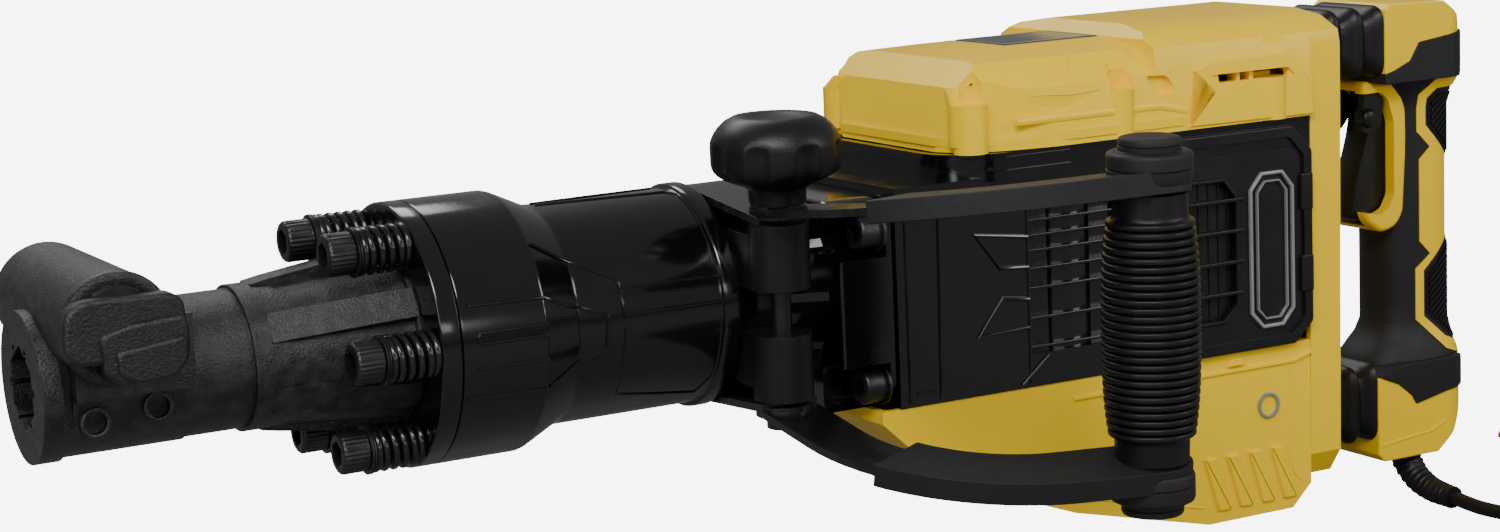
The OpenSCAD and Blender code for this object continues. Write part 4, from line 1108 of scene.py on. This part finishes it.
def make_plug():
    """Two-pin plug lying flat, with a ribbed neck and a moulded body."""
    x, _, z = TAIL_ROUTE[-1]
    body = [(-57, 5.2, 5.2), (-55, 6.2, 6.2), (-50, 6.6, 6.6), (-44, 7.6, 7.2), (-39, 9.5, 8.6),
            (-36, 13, 10.2), (-32, 16.2, 11.4), (-26, 17.4, 11.9), (-16, 17.4, 11.9), (-8, 16.9, 11.6),
            (-4.6, 16.3, 11.2), (-3.2, 15.2, 10.2)]
    bm = loft(bmesh.new(), [[(px, y, pz) for px, pz in oval(x, z, half_x, half_z, 0.75, 48)]
                            for y, half_x, half_z in body])
    for y in (-54, -50.5, -47):
        rib = [(y, 5), (y, 7.2), (y + 0.5, 7.7), (y + 1.4, 7.7), (y + 1.9, 7.2), (y + 1.9, 5)]
        lathe(bm, rib, "y", (x, z), 40, closed=True)
    shell = piece("plug_body", bm, "cord_rubber", "plug", sharp=50)
    pins = bmesh.new()
    for s in (-1, 1):
        centre = (x + 9.5 * s, z)
        lathe(pins, [(-4, 2.4), (13.6, 2.4), (15, 2), (15.8, 1.2), (16, 0.4)], "y", centre, 32)
        lathe(pins, [(-4, 2.5), (-4, 3.6), (-2.4, 3.4), (-2.2, 2.5)], "y", centre, 32, closed=True)
    pin_pair = piece("plug_pins", pins, "brass", "plug", sharp=50)
    return [shell, pin_pair]


def make_tie():
    """Hook-and-loop strap round the coil, with its free end lapped on top."""
    angle = radians(100)
    depth, height, half_w = 22.5, 30.0, 9.0
    out = Vector((cos(angle), sin(angle), 0))
    along = Vector((-sin(angle), cos(angle), 0))
    middle = Vector((*COIL_CENTRE, FLOOR_Z + height / 2)) + out * COIL_R
    inner = rounded(box(-depth / 2 - 0.2, depth / 2 + 0.2, -height / 2, height / 2 + 0.2), 3)
    rows = []
    for p, q in zip(inner, inset(inner, -1.3)):
        rows.append([middle + out * r[0] + Vector((0, 0, max(r[1], -height / 2 + 0.1))) + along * w
                     for r, w in ((p, -half_w), (q, -half_w + 0.3), (q, half_w - 0.3), (p, half_w))])
    bm = loft(bmesh.new(), rows, closed=True)
    low, high, rim, top = height / 2 + 1.2, height / 2 + 2.4, half_w - 0.4, half_w - 0.8
    loft(bm, [[middle + out * (2 * k - 8) + Vector((0, 0, lift)) + along * w
               for lift, w in ((low, -rim), (high, -top), (high, top), (low, rim))] for k in range(9)])
    return piece("cord_strap", bm, "charcoal_rubber", "cord_tie")


def make_cord():
    """The cord as one round bar, from the strain relief through the coil to the plug."""
    route = GUARD_ROUTE[1:-1] + CORD_ROUTE + coil_points() + TAIL_ROUTE[1:]
    data = bpy.data.curves.new("mains_cord", "CURVE")
    data.dimensions = "3D"
    data.bevel_depth = CORD_D / 2 * MM
    data.bevel_resolution = 4
    data.use_fill_caps = True
    spline = data.splines.new("POLY")
    spline.points.add(len(route) - 1)
    for point, p in zip(spline.points, route):
        point.co = (*(Vector(p) * MM), 1)
    spline.use_smooth = True
    data.materials.append(MATERIALS["cord_rubber"])
    cord = linked("mains_cord", data)
    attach(cord, "rear_handle")
    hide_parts("cord", "cord_coil")
    make_guard()
    make_tie()
    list(make_plug())


set_camera()
set_floor()
set_light()
make_cord()

for node in frame["nodes"]:
    slot_name = next(s["material_slot"] for s in frame["record"]["subparts"] if s["node"] == node)
    for material_slot in frame["nodes"][node].material_slots:
        material_slot.material = MATERIALS[slot_name]

make_front_bolts()
make_washers()
make_springs()
make_nose()
make_lever()
make_flange_ring()
make_barrel()
make_barrel_block()
make_corner_bolts()
make_knob()
make_side_grip()
make_caps()
make_sleeve_marks()
make_crank_case()
make_tray_band()
make_motor_housing()
make_side_panel("near", -1)
make_side_panel("far", 1)
make_badges()
make_top_cover()
make_label()
make_rear_handle()
make_trigger_parts()
make_bellows("bellows_top", "bellows_upper", 691.8, 64, 101)
make_bellows("bellows_foot", "bellows_lower", 685.8, -124, -83)

for node, slot_name, width in [
    ("rear_cover", "yellow_plastic", 2.5), ("clamp_bolt", "black_steel", 0.3),
    ("retainer_shaft", "black_steel", 0.6), ("clamp_band", "black_steel", 0.5),
    ("clamp_blocks", "satin_black", 1.0),
    ("arm_sleeve_upper", "charcoal_rubber", 1.5), ("arm_sleeve_lower", "charcoal_rubber", 1.5),
]:
    piece(node + "_shell", soften(cad_copy(node), width), slot_name, node)
